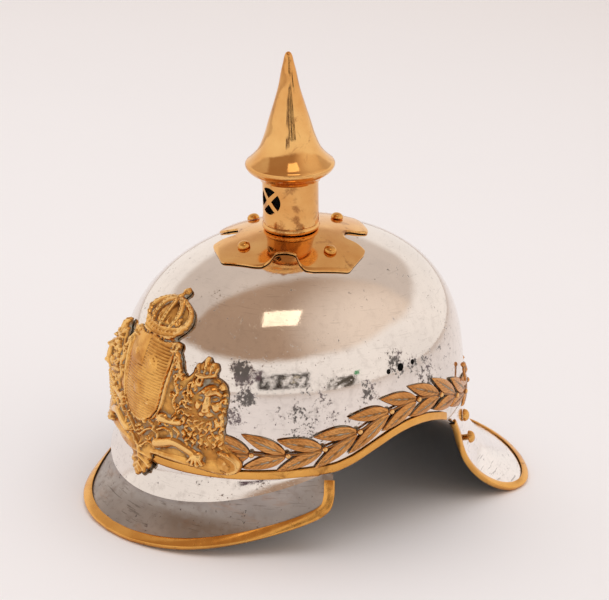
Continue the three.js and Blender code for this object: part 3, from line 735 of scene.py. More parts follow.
def sheetMesh(name, point, columns, rows, materials):
    u, v = np.meshgrid(np.linspace(0, 1, columns + 1), np.linspace(0, 1, rows + 1))
    middle, normal = point(u, v), sheetNormal(point, u, v)
    half = bowlShape["flangeSheet"] / 2
    grid = np.concatenate([middle + normal * half, (middle - normal * half)[::-1]])
    count = grid.shape[0]
    faces = gridFaces(count, columns + 1, True, False)
    for c in (0, columns):  # close the two free ends with a strip between the walls
        for k in range(rows):
            a, b = k * (columns + 1) + c, (k + 1) * (columns + 1) + c
            d, e = (count - 1 - k) * (columns + 1) + c, (count - 2 - k) * (columns + 1) + c
            faces.append([a, d, e, b] if c else [a, b, e, d])
    piece = makeMesh(name, toRow(grid), faces, materials)
    # the wall that faces the head gets the painted shade
    apart = np.hypot(grid[..., 0], grid[..., 1]).reshape(2, -1).mean(1)
    innerFirst = apart[0] < apart[1]
    wall = np.arange(len(faces)) // columns < rows
    hidden = (wall == innerFirst) & (np.arange(len(faces)) < (count - 1) * columns)
    piece.data.polygons.foreach_set("material_index", hidden.astype(np.int32))
    sharpEdges(piece, 50)
    return piece


def footOf(point, u, v, target):
    # the sheet's nearest place to each target, by Newton steps
    d = 2e-3
    for _ in range(12):
        away = target - point(u, v)
        du = (point(np.clip(u + d, 0, 1), v) - point(np.clip(u - d, 0, 1), v)) / (2 * d)
        dv = (point(u, np.clip(v + d, 0, 1)) - point(u, np.clip(v - d, 0, 1))) / (2 * d)
        a, b, c = (du * du).sum(-1), (du * dv).sum(-1), (dv * dv).sum(-1)
        p, q = (du * away).sum(-1), (dv * away).sum(-1)
        scale = 1 / np.maximum(a * c - b * b, 1e-9)
        u = np.clip(u + scale * (c * p - b * q), d, 1 - d)
        v = np.clip(v + scale * (a * q - b * p), 0.5, 1 - d)
    return u, v


edging = {
    "gap": 0.65,
    "wall": 0.55,
    "roll": 0.2,  # how far the outside swells between its lips
    "stations": 300,
    "visorWidth": 5.2,
    "visorEnd": 0.012,
    "guardWidth": (2.6, 4.0),  # at the ear, at the back
    "guardEnd": 0.025,
}


def edgingMesh(name, point, end, widthAt):
    half = bowlShape["flangeSheet"] / 2 + edging["gap"]
    out = half + edging["wall"]
    u = np.linspace(end, 1 - end, edging["stations"])
    edge = point(u, np.ones_like(u))
    d = 2e-3
    ahead = point(np.clip(u + d, 0, 1), np.ones_like(u)) - point(np.clip(u - d, 0, 1), np.ones_like(u))
    face = sheetNormal(point, u, np.ones_like(u))
    inward = unit(np.cross(face, ahead))
    middle = len(u) // 2
    sign = np.sign(np.dot(inward[middle], point(0.5, 0.9) - edge[middle]))
    inward = inward * sign
    foot = edge + inward * widthAt(u)[:, None]
    footU, footV = footOf(point, u, np.full_like(u, 0.9), foot)
    foot, lean = point(footU, footV), sheetNormal(point, footU, footV)
    lip = edge - inward * edging["gap"]
    wall = edging["wall"]

    def place(share, beyond, height):
        # share 0 at the edge and 1 at the lip over the sheet; beyond runs out past the edge
        base = lip + (foot - lip) * share
        way = unit(face + (lean - face) * share)
        return base - inward * beyond + way * height

    swell = edging["roll"]
    outside = [
        (1.0, 0, half), (1.0, 0, out - 0.15), (0.93, 0, out + 0.02), (0.6, 0, out + swell),
        (0.3, 0, out + swell), (0.08, 0, out + 0.02), (0, 0.25 * wall, out - 0.12),
        (0, 0.75 * wall, out - 0.45), (0, wall, half * 0.45),
    ]
    section = outside + [(s, b, -h) for s, b, h in reversed(outside)] + [(0, 0, -half), (0, 0, half)]
    grid = toRow(np.array([place(*station) for station in section]))
    grid[..., 2] = np.maximum(grid[..., 2], 0)  # the lowest run is rubbed flat where it stands
    piece = makeMesh(name, grid, stripFaces(grid), [edgingBrass])
    sharpEdges(piece, 50)
    return piece


def guardWidth(u):
    ear, back = edging["guardWidth"]
    return ear + (back - ear) * smoothStep(1 - np.abs(2 * u - 1), 0.3, 0.75)


def visorWidth(u):
    return np.full_like(u, edging["visorWidth"])


visor = sheetMesh("visorSheet", visorPoint, sheets["visorColumns"], sheets["visorRows"], [visorSteel, innerPaintedShade])
settled(visor, ["front_visor"])
guard = sheetMesh("neckGuardSheet", guardPoint, sheets["guardColumns"], sheets["guardRows"], [guardSteel, innerPaintedShade])
settled(guard, ["neck_guard"])
visorEdging = edgingMesh("visorEdging", visorPoint, edging["visorEnd"], visorWidth)
settled(visorEdging, ["visor_trim"])
guardEdging = edgingMesh("neckGuardEdging", guardPoint, edging["guardEnd"], guardWidth)
settled(guardEdging, ["neck_trim"])
print("visor and neck guard made")


# brass band along the edge

band = {"width": 5.3, "start": 0.7, "thick": 0.9, "end": 114.5, "stations": 420}


def buildBand():
    angle = np.linspace(-band["end"], band["end"], band["stations"])
    low, far = band["start"], band["start"] + band["thick"]
    width = band["width"]
    section = [
        (0.0, low), (0.0, far - 0.35), (0.35, far - 0.05), (1.2, far + 0.03), (width / 2, far + 0.1),
        (width - 1.2, far + 0.03), (width - 0.35, far - 0.05), (width, far - 0.35), (width, low),
    ]  # up from the edge, out from the bowl
    grid = np.array([bowl(angle, arch(angle) + up, offset) for up, offset in section])
    piece = makeMesh("edgeBand", toRow(grid), stripFaces(grid), [edgingBrass])
    sharpEdges(piece, 50)
    settled(piece, ["edge_band"])


buildBand()


# things that repeat are set out by geometry nodes

def socketId(tree, name):
    inputs = [i for i in tree.interface.items_tree if i.item_type == "SOCKET" and i.in_out == "INPUT"]
    return next(i.identifier for i in inputs if i.name == name)


def scatterTree(name):
    # sets one shape on every point, turned by the attribute "turn" and sized by "size"
    tree = bpy.data.node_groups.new(name, "GeometryNodeTree")
    for label, kind in (("Points", "NodeSocketGeometry"), ("Shape", "NodeSocketObject"), ("Scale", "NodeSocketFloat"),
                        ("Wobble", "NodeSocketFloat"), ("Seed", "NodeSocketInt"), ("Metal", "NodeSocketMaterial")):
        tree.interface.new_socket(label, in_out="INPUT", socket_type=kind)
    tree.interface.new_socket("Geometry", in_out="OUTPUT", socket_type="NodeSocketGeometry")
    make, link = tree.nodes.new, tree.links.new
    start, end = make("NodeGroupInput"), make("NodeGroupOutput")
    shape = make("GeometryNodeObjectInfo")
    link(start.outputs["Shape"], shape.inputs["Object"])
    toPoints = make("GeometryNodeMeshToPoints")
    link(start.outputs["Points"], toPoints.inputs["Mesh"])
    turn = make("GeometryNodeInputNamedAttribute")
    turn.data_type = "FLOAT_VECTOR"
    turn.inputs["Name"].default_value = "turn"
    size = make("GeometryNodeInputNamedAttribute")
    size.data_type = "FLOAT_VECTOR"
    size.inputs["Name"].default_value = "size"
    wobble = make("FunctionNodeRandomValue")
    wobble.data_type = "FLOAT_VECTOR"
    link(start.outputs["Seed"], wobble.inputs["Seed"])
    scaled = make("ShaderNodeVectorMath")
    scaled.operation = "SCALE"
    centred = make("ShaderNodeVectorMath")
    centred.operation = "SUBTRACT"
    link(wobble.outputs[0], centred.inputs[0])
    centred.inputs[1].default_value = (0.5, 0.5, 0.5)
    link(centred.outputs[0], scaled.inputs[0])
    link(start.outputs["Wobble"], scaled.inputs["Scale"])
    added = make("ShaderNodeVectorMath")
    added.operation = "ADD"
    link(turn.outputs["Attribute"], added.inputs[0])
    link(scaled.outputs[0], added.inputs[1])
    toTurn = make("FunctionNodeEulerToRotation")
    link(added.outputs[0], toTurn.inputs[0])
    sized = make("ShaderNodeVectorMath")
    sized.operation = "SCALE"
    link(size.outputs["Attribute"], sized.inputs[0])
    link(start.outputs["Scale"], sized.inputs["Scale"])
    place = make("GeometryNodeInstanceOnPoints")
    link(toPoints.outputs[0], place.inputs["Points"])
    link(shape.outputs["Geometry"], place.inputs["Instance"])
    link(toTurn.outputs[0], place.inputs["Rotation"])
    link(sized.outputs[0], place.inputs["Scale"])
    real = make("GeometryNodeRealizeInstances")
    link(place.outputs[0], real.inputs[0])
    metal = make("GeometryNodeSetMaterial")
    link(real.outputs[0], metal.inputs[0])
    link(start.outputs["Metal"], metal.inputs["Material"])
    link(metal.outputs[0], end.inputs[0])
    return tree


def scattered(name, places, turns, sizes, shape, metal, wobble=0.0, seed=7, scale=1.0):
    # returns a plain mesh with the shape set on every place
    mesh = bpy.data.meshes.new(name + "Points")
    mesh.from_pydata([tuple(p) for p in places], [], [])
    for label, values in (("turn", turns), ("size", sizes)):
        attribute = mesh.attributes.new(label, "FLOAT_VECTOR", "POINT")
        attribute.data.foreach_set("vector", np.asarray(values, float).ravel())
    carrier = bpy.data.objects.new(name + "Points", mesh)
    bpy.context.scene.collection.objects.link(carrier)
    modifier = carrier.modifiers.new("scatter", "NODES")
    modifier.node_group = scatterTree(name + "Tree")
    for label, value in (("Shape", shape), ("Scale", scale), ("Wobble", wobble), ("Seed", seed), ("Metal", metal)):
        modifier[socketId(modifier.node_group, label)] = value
    graph = bpy.context.evaluated_depsgraph_get()
    result = bpy.data.meshes.new_from_object(carrier.evaluated_get(graph), depsgraph=graph)
    carrier.modifiers.clear()
    bpy.data.objects.remove(carrier)
    result.name = name
    return result


def eulersTo(normals):
    # turns +Z to each normal
    return [Vector((0, 0, 1)).rotation_difference(Vector(n)).to_euler() for n in normals]


def latheShape(profile, segments):
    # profile of (radius, height), closed; points on the axis become one pole
    profile = np.asarray(profile, float)
    angle = np.linspace(0, 2 * math.pi, segments, endpoint=False)
    points, rings = [], []
    for radius, z in profile:
        if radius < 1e-6:
            rings.append([len(points)] * segments)
            points.append((0, 0, z))
        else:
            rings.append(list(range(len(points), len(points) + segments)))
            points += [(radius * math.sin(a), -radius * math.cos(a), z) for a in angle]
    faces = []
    pairs = list(zip(rings[:-1], rings[1:]))
    if profile[0][0] > 1e-6 and profile[-1][0] > 1e-6:
        pairs.append((rings[-1], rings[0]))
    for a, b in pairs:
        for k in range(segments):
            n = (k + 1) % segments
            face = [a[k], a[n], b[n], b[k]]
            face = [v for i, v in enumerate(face) if v not in face[:i]]
            if len(face) > 2:
                faces.append(face)
    return outwardPart(np.array(points), faces)


# studs and rivets

fastening = {
    "studRadius": 3.9, "studHeight": 3.2, "studReach": 36.8,
    "rivetRadius": 4.0, "rivetHeight": 3.4,
    "upperRivet": (0.46, 0.36, 0.2),  # along, down, stem
    "lowerRivet": (0.37, 0.56, 3.6),
    "segments": 32,
}


def headProfile(radius, height, stem):
    t = np.linspace(0, math.pi / 2, 9)
    dome = [(radius * math.cos(a) ** 0.9, height * math.sin(a)) for a in t[:-1]] + [(0, height)]
    lip = [(radius * 0.96, -0.28)]
    if stem <= 0.3:
        return [(0, -0.28)] + lip + dome
    neck = radius * 0.5
    return [(0, -stem - 0.3), (neck, -stem - 0.3), (neck, -0.28)] + lip + dome


def headShape(name, radius, height, stem):
    points, faces = latheShape(headProfile(radius, height, stem), fastening["segments"])
    return makeMesh(name, points / 1000, faces, [studBrass])


def buildStuds():
    angles = np.array([0.0, 90.0, 180.0, 270.0])
    reach = fastening["studReach"]
    foot = crown(angles, reach, 0.6 + 1.2 + 0.6)
    out = crown(angles, reach + 1) - crown(angles, reach - 1)
    across = crown(angles + 1, reach) - crown(angles - 1, reach)
    normal = turned(unit(np.cross(out, across)))
    shape = headShape("studShape", fastening["studRadius"], fastening["studHeight"], 0)
    mesh = scattered("baseStuds", toRow(foot), eulersTo(normal), np.ones((4, 3)), shape, studBrass)
    bpy.data.objects.remove(shape)
    studs = bpy.data.objects.new("baseStuds", mesh)
    bpy.context.scene.collection.objects.link(studs)
    settled(studs, ["base_stud_front", "base_stud_left", "base_stud_back", "base_stud_right"])


def buildRivets(which, name, nodes):
    along, down, stem = fastening[which]
    u = np.array([along / 2, 1 - along / 2])
    v = np.array([down, down])
    face = sheetNormal(guardPoint, u, v)
    face *= np.sign(face[:, :1] * np.array([[1.0], [-1.0]]))
    foot = guardPoint(u, v) + face * (bowlShape["flangeSheet"] / 2 + 0.5 + stem)
    shape = headShape(name + "Shape", fastening["rivetRadius"], fastening["rivetHeight"], stem)
    mesh = scattered(name, toRow(foot), eulersTo(turned(face)), np.ones((2, 3)), shape, studBrass)
    bpy.data.objects.remove(shape)
    rivets = bpy.data.objects.new(name, mesh)
    bpy.context.scene.collection.objects.link(rivets)
    settled(rivets, nodes)


buildStuds()
buildRivets("upperRivet", "upperRivets", ["upper_rivet_left", "upper_rivet_right"])
buildRivets("lowerRivet", "lowerRivets", ["lower_rivet_left", "lower_rivet_right"])
print("studs and rivets set")


# spike, vent neck, ring and base plate

spikeGroup = {
    "segments": 128,
    "neckRadius": 17.0, "neckWall": 1.0, "neckBottom": 122.1, "neckTop": 150.2,
    "ringInside": 15.0, "ringOutside": 16.7, "ringBead": 0.95, "ringBottom": 118.15, "ringTop": 121.8,
    "ventHeight": 138.4, "ventRadius": 8.4, "ventSpoke": 2.4,
    "baseHole": 13.5, "baseCollar": 0.8, "basePlate": 1.2,
    "arm": [(0, 54), (12, 50.4), (23.4, 49), (29.5, 47.8), (33, 43), (35, 34.2)],
    "notch": 32.3,
}
spikeOutline = [
    (0, 228), (1.1, 227.6), (2.1, 226.2), (3.3, 221.4), (4.5, 216.4), (6.5, 206.4), (9.4, 196.4), (12.5, 186.4),
    (15.5, 176.4), (18.9, 168.4), (21.6, 164.8), (24.8, 161.6), (26.8, 159.8), (27.2, 158.4), (26.4, 156.6),
    (24.4, 154.4), (20.4, 152.0), (19.2, 150.8), (18.5, 149.4),
]
spikeInside = [
    (17.5, 149.4), (17.5, 152), (23, 156.5), (23.5, 161), (17, 167.5), (12.6, 176), (9.4, 187), (3.6, 206), (0, 214),
]


def latheMesh(name, profile, materials):
    points, faces = latheShape(profile, spikeGroup["segments"])
    piece = makeMesh(name, toRow(points), faces, materials)
    sharpEdges(piece, 40)
    return piece


def buildSpike():
    outside = pathCurve(spikeOutline, 110)
    outside[0, 0] = 0
    outside[:, 0] = np.maximum(outside[:, 0], 0)
    profile = [tuple(p) for p in outside] + spikeInside
    settled(latheMesh("spikeCone", profile, [spikeBrass]), ["spike"])


def buildNeck():
    radius, wall = spikeGroup["neckRadius"], spikeGroup["neckWall"]
    bottom, top = spikeGroup["neckBottom"], spikeGroup["neckTop"]
    outer = [(radius, z) for z in np.linspace(bottom, top, 24)]
    profile = [(radius - wall, bottom)] + outer + [(radius - wall, top)]
    neck = latheMesh("ventNeck", profile, [spikeBrass, innerPaintedShade])
    windows = []
    vent = spikeGroup["ventRadius"]
    half = math.radians(45) - math.asin(spikeGroup["ventSpoke"] / 2 / vent)
    inset = spikeGroup["ventSpoke"] / 2 * math.sqrt(2) * 1.2
    for back in (-1, 1):
        for quarter in range(4):
            turn = quarter * math.pi / 2
            arc = [(vent * math.cos(a), vent * math.sin(a)) for a in np.linspace(turn - half, turn + half, 14)]
            shape = [(inset * math.cos(turn), inset * math.sin(turn))] + arc
            near = [(x, back * 8.0, spikeGroup["ventHeight"] + z) for x, z in shape]
            far = [(x, back * 24.0, spikeGroup["ventHeight"] + z) for x, z in shape]
            windows.append(outwardPart(toRow(np.array(near + far)), prismFaces(len(shape))))
    points, faces = joined(windows)
    boredBy(neck, makeMesh("windows", points, faces, [spikeBrass]))
    # the inside of the neck gets the painted shade
    mesh = neck.data
    axis = toRow(np.array([[0, 0, 0.0], [0, 0, 100.0]]))
    along = unit(axis[1] - axis[0])
    indices = []
    for face in mesh.polygons:
        centre, normal = np.array(face.center), np.array(face.normal)
        away = centre - axis[0]
        away = away - along * np.dot(away, along)
        inner = np.linalg.norm(away) < (radius - 0.6) / 1000 and np.dot(away, normal) < 0
        indices.append(1 if inner else 0)
    mesh.polygons.foreach_set("material_index", indices)
    sharpEdges(neck, 40)
    settled(neck, ["vent_neck"])


def buildRing():
    low, high = spikeGroup["ringBottom"], spikeGroup["ringTop"]
    inside, outside, bead = (spikeGroup[k] for k in ("ringInside", "ringOutside", "ringBead"))
    bulge = [(outside + bead * math.sin(math.pi * t) ** 0.8, low + (high - low) * t) for t in np.linspace(0, 1, 14)]
    profile = [(inside, low)] + bulge + [(inside, high)]
    settled(latheMesh("neckRing", profile, [spikeBrass]), ["neck_ring"])


def buildBase():
    half = spikeGroup["arm"] + [(45, spikeGroup["notch"])]
    arm = half + [(90 - a, r) for a, r in reversed(spikeGroup["arm"][1:])]
    turn, radius = np.array([((a + 90 * k), r) for k in range(4) for a, r in arm]).T
    flat = np.stack([radius * np.sin(np.radians(turn)), radius * np.cos(np.radians(turn))], -1)
    closed = np.vstack([flat, flat[:1]])
    length = np.concatenate([[0], np.cumsum(np.linalg.norm(np.diff(closed, axis=0), axis=1))])
    want = np.linspace(0, length[-1], 480, endpoint=False)
    outline = np.stack([np.interp(want, length, closed[:, k]) for k in (0, 1)], -1)
    for _ in range(5):  # soften the corners a little
        outline = (np.roll(outline, 1, 0) + 2 * outline + np.roll(outline, -1, 0)) / 4
    reach = np.linalg.norm(outline, axis=1)
    angle = np.degrees(np.arctan2(outline[:, 0], outline[:, 1]))
    shares = np.linspace(0, 1, 26) ** 0.9

    def side(lift, drop):
        rows = []
        for share in shares:
            radius = spikeGroup["baseHole"] + (reach - spikeGroup["baseHole"]) * share
            collar = spikeGroup["baseCollar"] * np.maximum(0, 1 - (radius - spikeGroup["baseHole"]) / 14) ** 1.5
            near = np.clip((reach - radius) / 1.1, 0, 1)
            rows.append(crown(angle, radius, 0.6 + collar + lift - drop * (1 - near) ** 2))
        return rows

    grid = np.array(side(spikeGroup["basePlate"], 0.4) + side(0.0, 0.0)[::-1])
    rows, columns = grid.shape[:2]
    piece = makeMesh("spikeBase", toRow(grid), gridFaces(rows, columns, True, True), [spikeBrass])
    sharpEdges(piece, 50)
    settled(piece, ["spike_base"])


buildSpike()
buildNeck()
buildRing()
buildBase()
print("spike group made")


# garland: leaves and berries are set out flat, then wrapped on the bowl

garland = {
    "flatScale": 1.84,  # mm along the bowl for each degree
    "path": [(27, 17.5), (42.3, 16.6), (53, 15.4), (64, 16.6), (75, 22.8), (86, 29.8), (97, 31), (109, 25.8),
             (116, 20.6), (122.4, 14.6), (130, 9.6), (142, 7), (160, 6.4), (180, 6.4)],
    "firstNode": 42.3,
    "pitch": 11.25,
    "lastNode": 178.0,
    "tipAhead": 14.6,  # degrees from a leaf's foot to its tip
    "upperRise": (10.3, 10.9, 8.0, 8.0, 11.3, 9.2, 9.0, 9.6, 9.4, 8.0),
    "lowerDrop": (6.5, 8.6, 9.4, 10.6, 10.8, 9.0, 8.4, 8.0, 7.6, 7.6),
    "leafLength": 26.0,
    "leafWidth": 9.2,
    "leafRise": 1.5,
    "lift": 0.75,
    "berry": 1.75,
    "stem": 0.75,
    "stemRun": (31, 179.4),
    "stemShade": 0.72,
    "seed": 11,
}


def setHollow(piece, values):
    piece.data.attributes.new("hollow", "FLOAT", "POINT").data.foreach_set("value", np.asarray(values, float))


def leafShape():
    # one closed leaf along +X, with a groove down the middle, a raised rim and slanting veins
    long, wide = 34, 14
    t = np.linspace(0, 1, long + 1)
    outline = np.sin(np.pi * t**0.82) ** 0.85 * (1 - 0.12 * t)
    s = np.linspace(-1, 1, wide + 1)
    x = t[:, None] * garland["leafLength"] * np.ones_like(s)
    y = outline[:, None] * s * garland["leafWidth"] / 2
    across = np.abs(s)[None, :] * np.ones_like(x)
    swell = (1 - across**2) * 0.75 + 0.25
    rim = np.exp(-(((across - 0.86) / 0.1) ** 2)) * 0.24
    groove = -0.34 * np.exp(-((s / 0.12) ** 2))[None, :] * np.clip(outline, 0, 1)[:, None]
    veins = 0.10 * np.sin((x * 0.9 - np.abs(y) * 1.5) * 2.1) * (1 - across**4)
    body = np.clip(outline * 4, 0, 1)[:, None]
    top = garland["leafRise"] * swell * body + (rim + groove + veins) * body + 0.15
    top[:, [0, -1]] = 0.12
    border = np.exp(-(((across - 0.98) / 0.08) ** 2))
    hollow = np.clip(0.5 + (-groove) * 1.9 + border * 0.45 - rim * 0.9 - veins * 1.2, 0, 1)
    upper = np.stack([x, y, top], -1)
    lower = np.stack([x, y, np.full_like(x, -0.25)], -1)
    grid = np.concatenate([upper.transpose(1, 0, 2), lower.transpose(1, 0, 2)[::-1]])
    piece = makeMesh("leafShape", grid, stripFaces(grid), [leafBrass])
    values = np.concatenate([hollow.T, np.full_like(hollow.T, 0.95)]).ravel()
    setHollow(piece, values)
    return piece


def berryShape():
    swell = [(math.cos(a), math.sin(a)) for a in np.linspace(-1.2, 1.45, 9)]
    points, faces = latheShape([(0, -1.0)] + swell + [(0, 1.0)], 16)
    piece = makeMesh("berryShape", points, faces, [leafBrass])
    setHollow(piece, np.clip(0.95 - points[:, 2] * 1.1, 0.0, 1.0))
    return piece


def wrapped(mesh, side):
    # from the flat layout to the bowl; the mirrored side has its faces turned back
    count = len(mesh.vertices)
    flat = np.zeros(count * 3)
    mesh.vertices.foreach_get("co", flat)
    flat = flat.reshape(-1, 3)
    place = toRow(bowl(side * flat[:, 0] / garland["flatScale"], flat[:, 1], flat[:, 2]))
    mesh.vertices.foreach_set("co", place.ravel())
    if side < 0:
        mesh.flip_normals()
    mesh.polygons.foreach_set("use_smooth", [True] * len(mesh.polygons))
    mesh.update()


def joinMeshes(name, meshes):
    pieces = []
    for mesh in meshes:
        piece = bpy.data.objects.new(name, mesh)
        bpy.context.scene.collection.objects.link(piece)
        pieces.append(piece)
    bpy.ops.object.select_all(action="DESELECT")
    for piece in pieces:
        piece.select_set(True)
    bpy.context.view_layer.objects.active = pieces[0]
    bpy.ops.object.join()
    pieces[0].name = name
    return pieces[0]


def buildGarland(side, name, nodes):
    path = pathCurve(garland["path"], 600)
    scale = garland["flatScale"]

    def stemHeight(angle):
        return np.interp(angle, path[:, 0], path[:, 1])

    places, turns, sizes, berries = [], [], [], []
    node, k = garland["firstNode"], 0
    while node < garland["lastNode"] + 4:
        foot = np.array([(node - 0.6) * scale, float(stemHeight(node - 0.6))])
        ahead = (node - garland["tipAhead"])
        for sign, table in ((1, garland["upperRise"]), (-1, garland["lowerDrop"])):
            rise = table[min(k, len(table) - 1)]
            tip = np.array([ahead * scale, float(stemHeight(ahead)) + sign * rise])
            away = tip - foot
            places.append((foot[0], foot[1] + sign * 0.9, garland["lift"] + (0.35 if sign > 0 else 0.2)))
            turns.append((0, 0.012, math.atan2(away[1], away[0])))
            sizes.append((np.linalg.norm(away) / garland["leafLength"], 1, 1))
        berries.append((node * scale, float(stemHeight(node)), garland["lift"] + 1.7))
        node += garland["pitch"]
        k += 1
    leaf, berry = leafShape(), berryShape()
    leaves = scattered(name + "Leaves", places, turns, sizes, leaf, leafBrass, 0.05, garland["seed"])
    plain, sized = np.zeros((len(berries), 3)), np.full((len(berries), 3), garland["berry"])
    dots = scattered(name + "Berries", berries, plain, sized, berry, leafBrass)
    bpy.data.objects.remove(leaf)
    bpy.data.objects.remove(berry)
    # the stem is a thin rod along the same path
    angle = np.linspace(*garland["stemRun"], 260)
    along, height, lift = angle * scale, stemHeight(angle), garland["lift"] + 1.0
    tube = np.array([
        np.stack([along, height + garland["stem"] * math.cos(r), np.full_like(angle, lift + 0.8 * math.sin(r))], -1)
        for r in np.linspace(0, 2 * math.pi, 10, endpoint=False)
    ])
    rodPiece = makeMesh(name + "Stem", tube, stripFaces(tube), [leafBrass])
    setHollow(rodPiece, np.full(tube.shape[0] * tube.shape[1], garland["stemShade"]))
    stem = rodPiece.data
    bpy.data.objects.remove(rodPiece)
    for mesh in (leaves, dots, stem):
        wrapped(mesh, side)
    piece = joinMeshes(name, [leaves, dots, stem])
    settled(piece, nodes)


buildGarland(1, "garlandLeft", ["garland_left"])
buildGarland(-1, "garlandRight", ["garland_right"])


pin = {"angle": 129.0, "heights": (19.0, 29.5), "offsets": (3.6, 2.6), "stalk": 0.8, "berry": 1.6, "shade": 0.45}


def buildPins():
    # a berry on a stalk that stands up behind each garland
    parts, size = [], pin["berry"]
    side = [(size * math.cos(a), size * math.sin(a)) for a in np.linspace(-1.3, 1.3, 9)]
    for hand in (1, -1):
        foot, top = bowl(hand * pin["angle"], np.array(pin["heights"]), np.array(pin["offsets"]))
        parts.append(outwardPart(*rod(foot, top, pin["stalk"], 16)))
        ball, faces = latheShape([(0, -size)] + side + [(0, size)], 20)
        parts.append((ball + top, faces))
    points, faces = joined(parts)
    pins = makeMesh("berryPins", toRow(points), faces, [leafBrass])
    setHollow(pins, np.full(len(points), pin["shade"]))
    settled(pins, ["berry_pin_left", "berry_pin_right"])


buildPins()
print("garlands made")


# front plate: the cast relief is a height over a fine grid of x and z, cut to its outline

plate = {
    "step": 0.46,
    "back": 0.65,
    "overBand": 2.1,
    "floor": 1.3,  # thickness of the plainest places
    "hatchPitch": 1.62,
    "hatchDepth": 0.55,
    "seed": 5,
}
plateHalf = [
    (0, 97.3), (2.2, 96.6), (3.0, 95.4), (2.2, 94.2), (1.8, 93.2), (5, 92.9), (8.7, 91.8), (13.5, 90.2), (17.2, 87.6),
    (19.6, 84.4), (19.0, 81.2), (16.6, 78.4), (13.6, 75.6), (18.4, 75.2), (20.8, 73.2), (20.4, 70.4), (22.8, 68.4),
    (24.6, 65.8), (25.6, 63.2), (27.2, 61.0), (30.3, 58.6), (33.2, 61.6), (33.0, 64.2), (34.4, 67.6), (36.0, 67.2),
    (37.8, 71.2), (39.6, 71.2), (41.8, 68.2), (44.4, 68.8), (46.6, 65.2), (45.9, 61.2), (49.2, 60.0), (52.6, 56.8), (54.6, 51.6),
    (55.1, 46.4), (54.9, 41.2), (55.6, 36.4), (54.6, 31), (55.4, 26), (55.6, 22.4), (58.2, 18.4), (62.2, 14.2),
    (63.4, 10.4), (62, 6.2), (58.8, 3.7), (53.5, 3), (45.5, 4.6), (36.6, 6.1), (26.4, 7), (12, 7.4), (9.8, 5.6), (9.9, 2.6),
    (7.4, 1.2), (9.6, -1.2), (8.6, -4), (6.0, -3.8), (6.2, -7), (3.4, -7.2), (1.8, -9.4), (0, -9.8),
]


def dome(x, z, cx, cz, rx, rz, height, power=0.5, lean=0.0):
    c, s = math.cos(lean), math.sin(lean)
    a, b = (x - cx) * c + (z - cz) * s, -(x - cx) * s + (z - cz) * c
    return height * np.clip(1 - (a / rx) ** 2 - (b / rz) ** 2, 0, 1) ** power


def segmentDistance(x, z, a, b):
    ax, az, bx, bz = *a, *b
    dx, dz = bx - ax, bz - az
    t = np.clip(((x - ax) * dx + (z - az) * dz) / max(dx * dx + dz * dz, 1e-9), 0, 1)
    return np.hypot(x - ax - t * dx, z - az - t * dz), t


def stroke(x, z, points, radius, height, endRadius=None, power=0.5):
    # a rounded ridge along a polyline, tapering to endRadius
    points = np.asarray(points, float)
    endRadius = radius if endRadius is None else endRadius
    lengths = np.linalg.norm(np.diff(points, axis=0), axis=1)
    total, done = lengths.sum(), 0.0
    best = np.zeros_like(x)
    for k in range(len(points) - 1):
        distance, t = segmentDistance(x, z, points[k], points[k + 1])
        share = (done + t * lengths[k]) / total
        width = radius + (endRadius - radius) * share
        tall = height * (0.35 + 0.65 * width / max(radius, endRadius))
        best = np.maximum(best, tall * np.clip(1 - (distance / width) ** 2, 0, 1) ** power)
        done += lengths[k]
    return best


def arcPoints(cx, cz, radius, start, end, count=12, shrink=1.0):
    # an arc or, with shrink below 1, a spiral; degrees
    t = np.linspace(0, 1, count)
    a = np.radians(start + (end - start) * t)
    r = radius * (1 + (shrink - 1) * t)
    return np.stack([cx + r * np.cos(a), cz + r * np.sin(a)], -1)


def outlineDistance(x, z, outline):
    # signed distance, positive inside
    best = np.full(x.shape, 1e9)
    inside = np.zeros(x.shape, bool)
    for a, b in zip(outline, np.roll(outline, -1, 0)):
        distance, _ = segmentDistance(x, z, tuple(a), tuple(b))
        best = np.minimum(best, distance)
        if a[1] != b[1]:
            crosses = ((a[1] > z) != (b[1] > z)) & (x < (b[0] - a[0]) * (z - a[1]) / (b[1] - a[1]) + a[0])
            inside ^= crosses
    return np.where(inside, best, -best)


def plateEdge(x, z):
    right = np.array(plateHalf)
    outline = np.vstack([right, (right * [-1, 1])[1:-1][::-1]])
    for _ in range(2):  # round the corners off
        nextOne = np.roll(outline, -1, 0)
        outline = np.stack([0.75 * outline + 0.25 * nextOne, 0.25 * outline + 0.75 * nextOne], 1).reshape(-1, 2)
    return outlineDistance(x, z, outline)


def shieldField(x, z):
    # distance inside the shield's inner edge
    side = np.interp(z, [26, 30, 36, 42, 50, 60, 68, 73], [2.0, 9.5, 14.2, 15.8, 16.8, 18.2, 18.4, 16.4])
    top = 72.6 + 1.2 * np.cos(x / 18 * math.pi) ** 2 - z
    bottom = z - (25.6 + 0.012 * x * x)
    return np.minimum(np.minimum(side - np.abs(x), top), bottom)


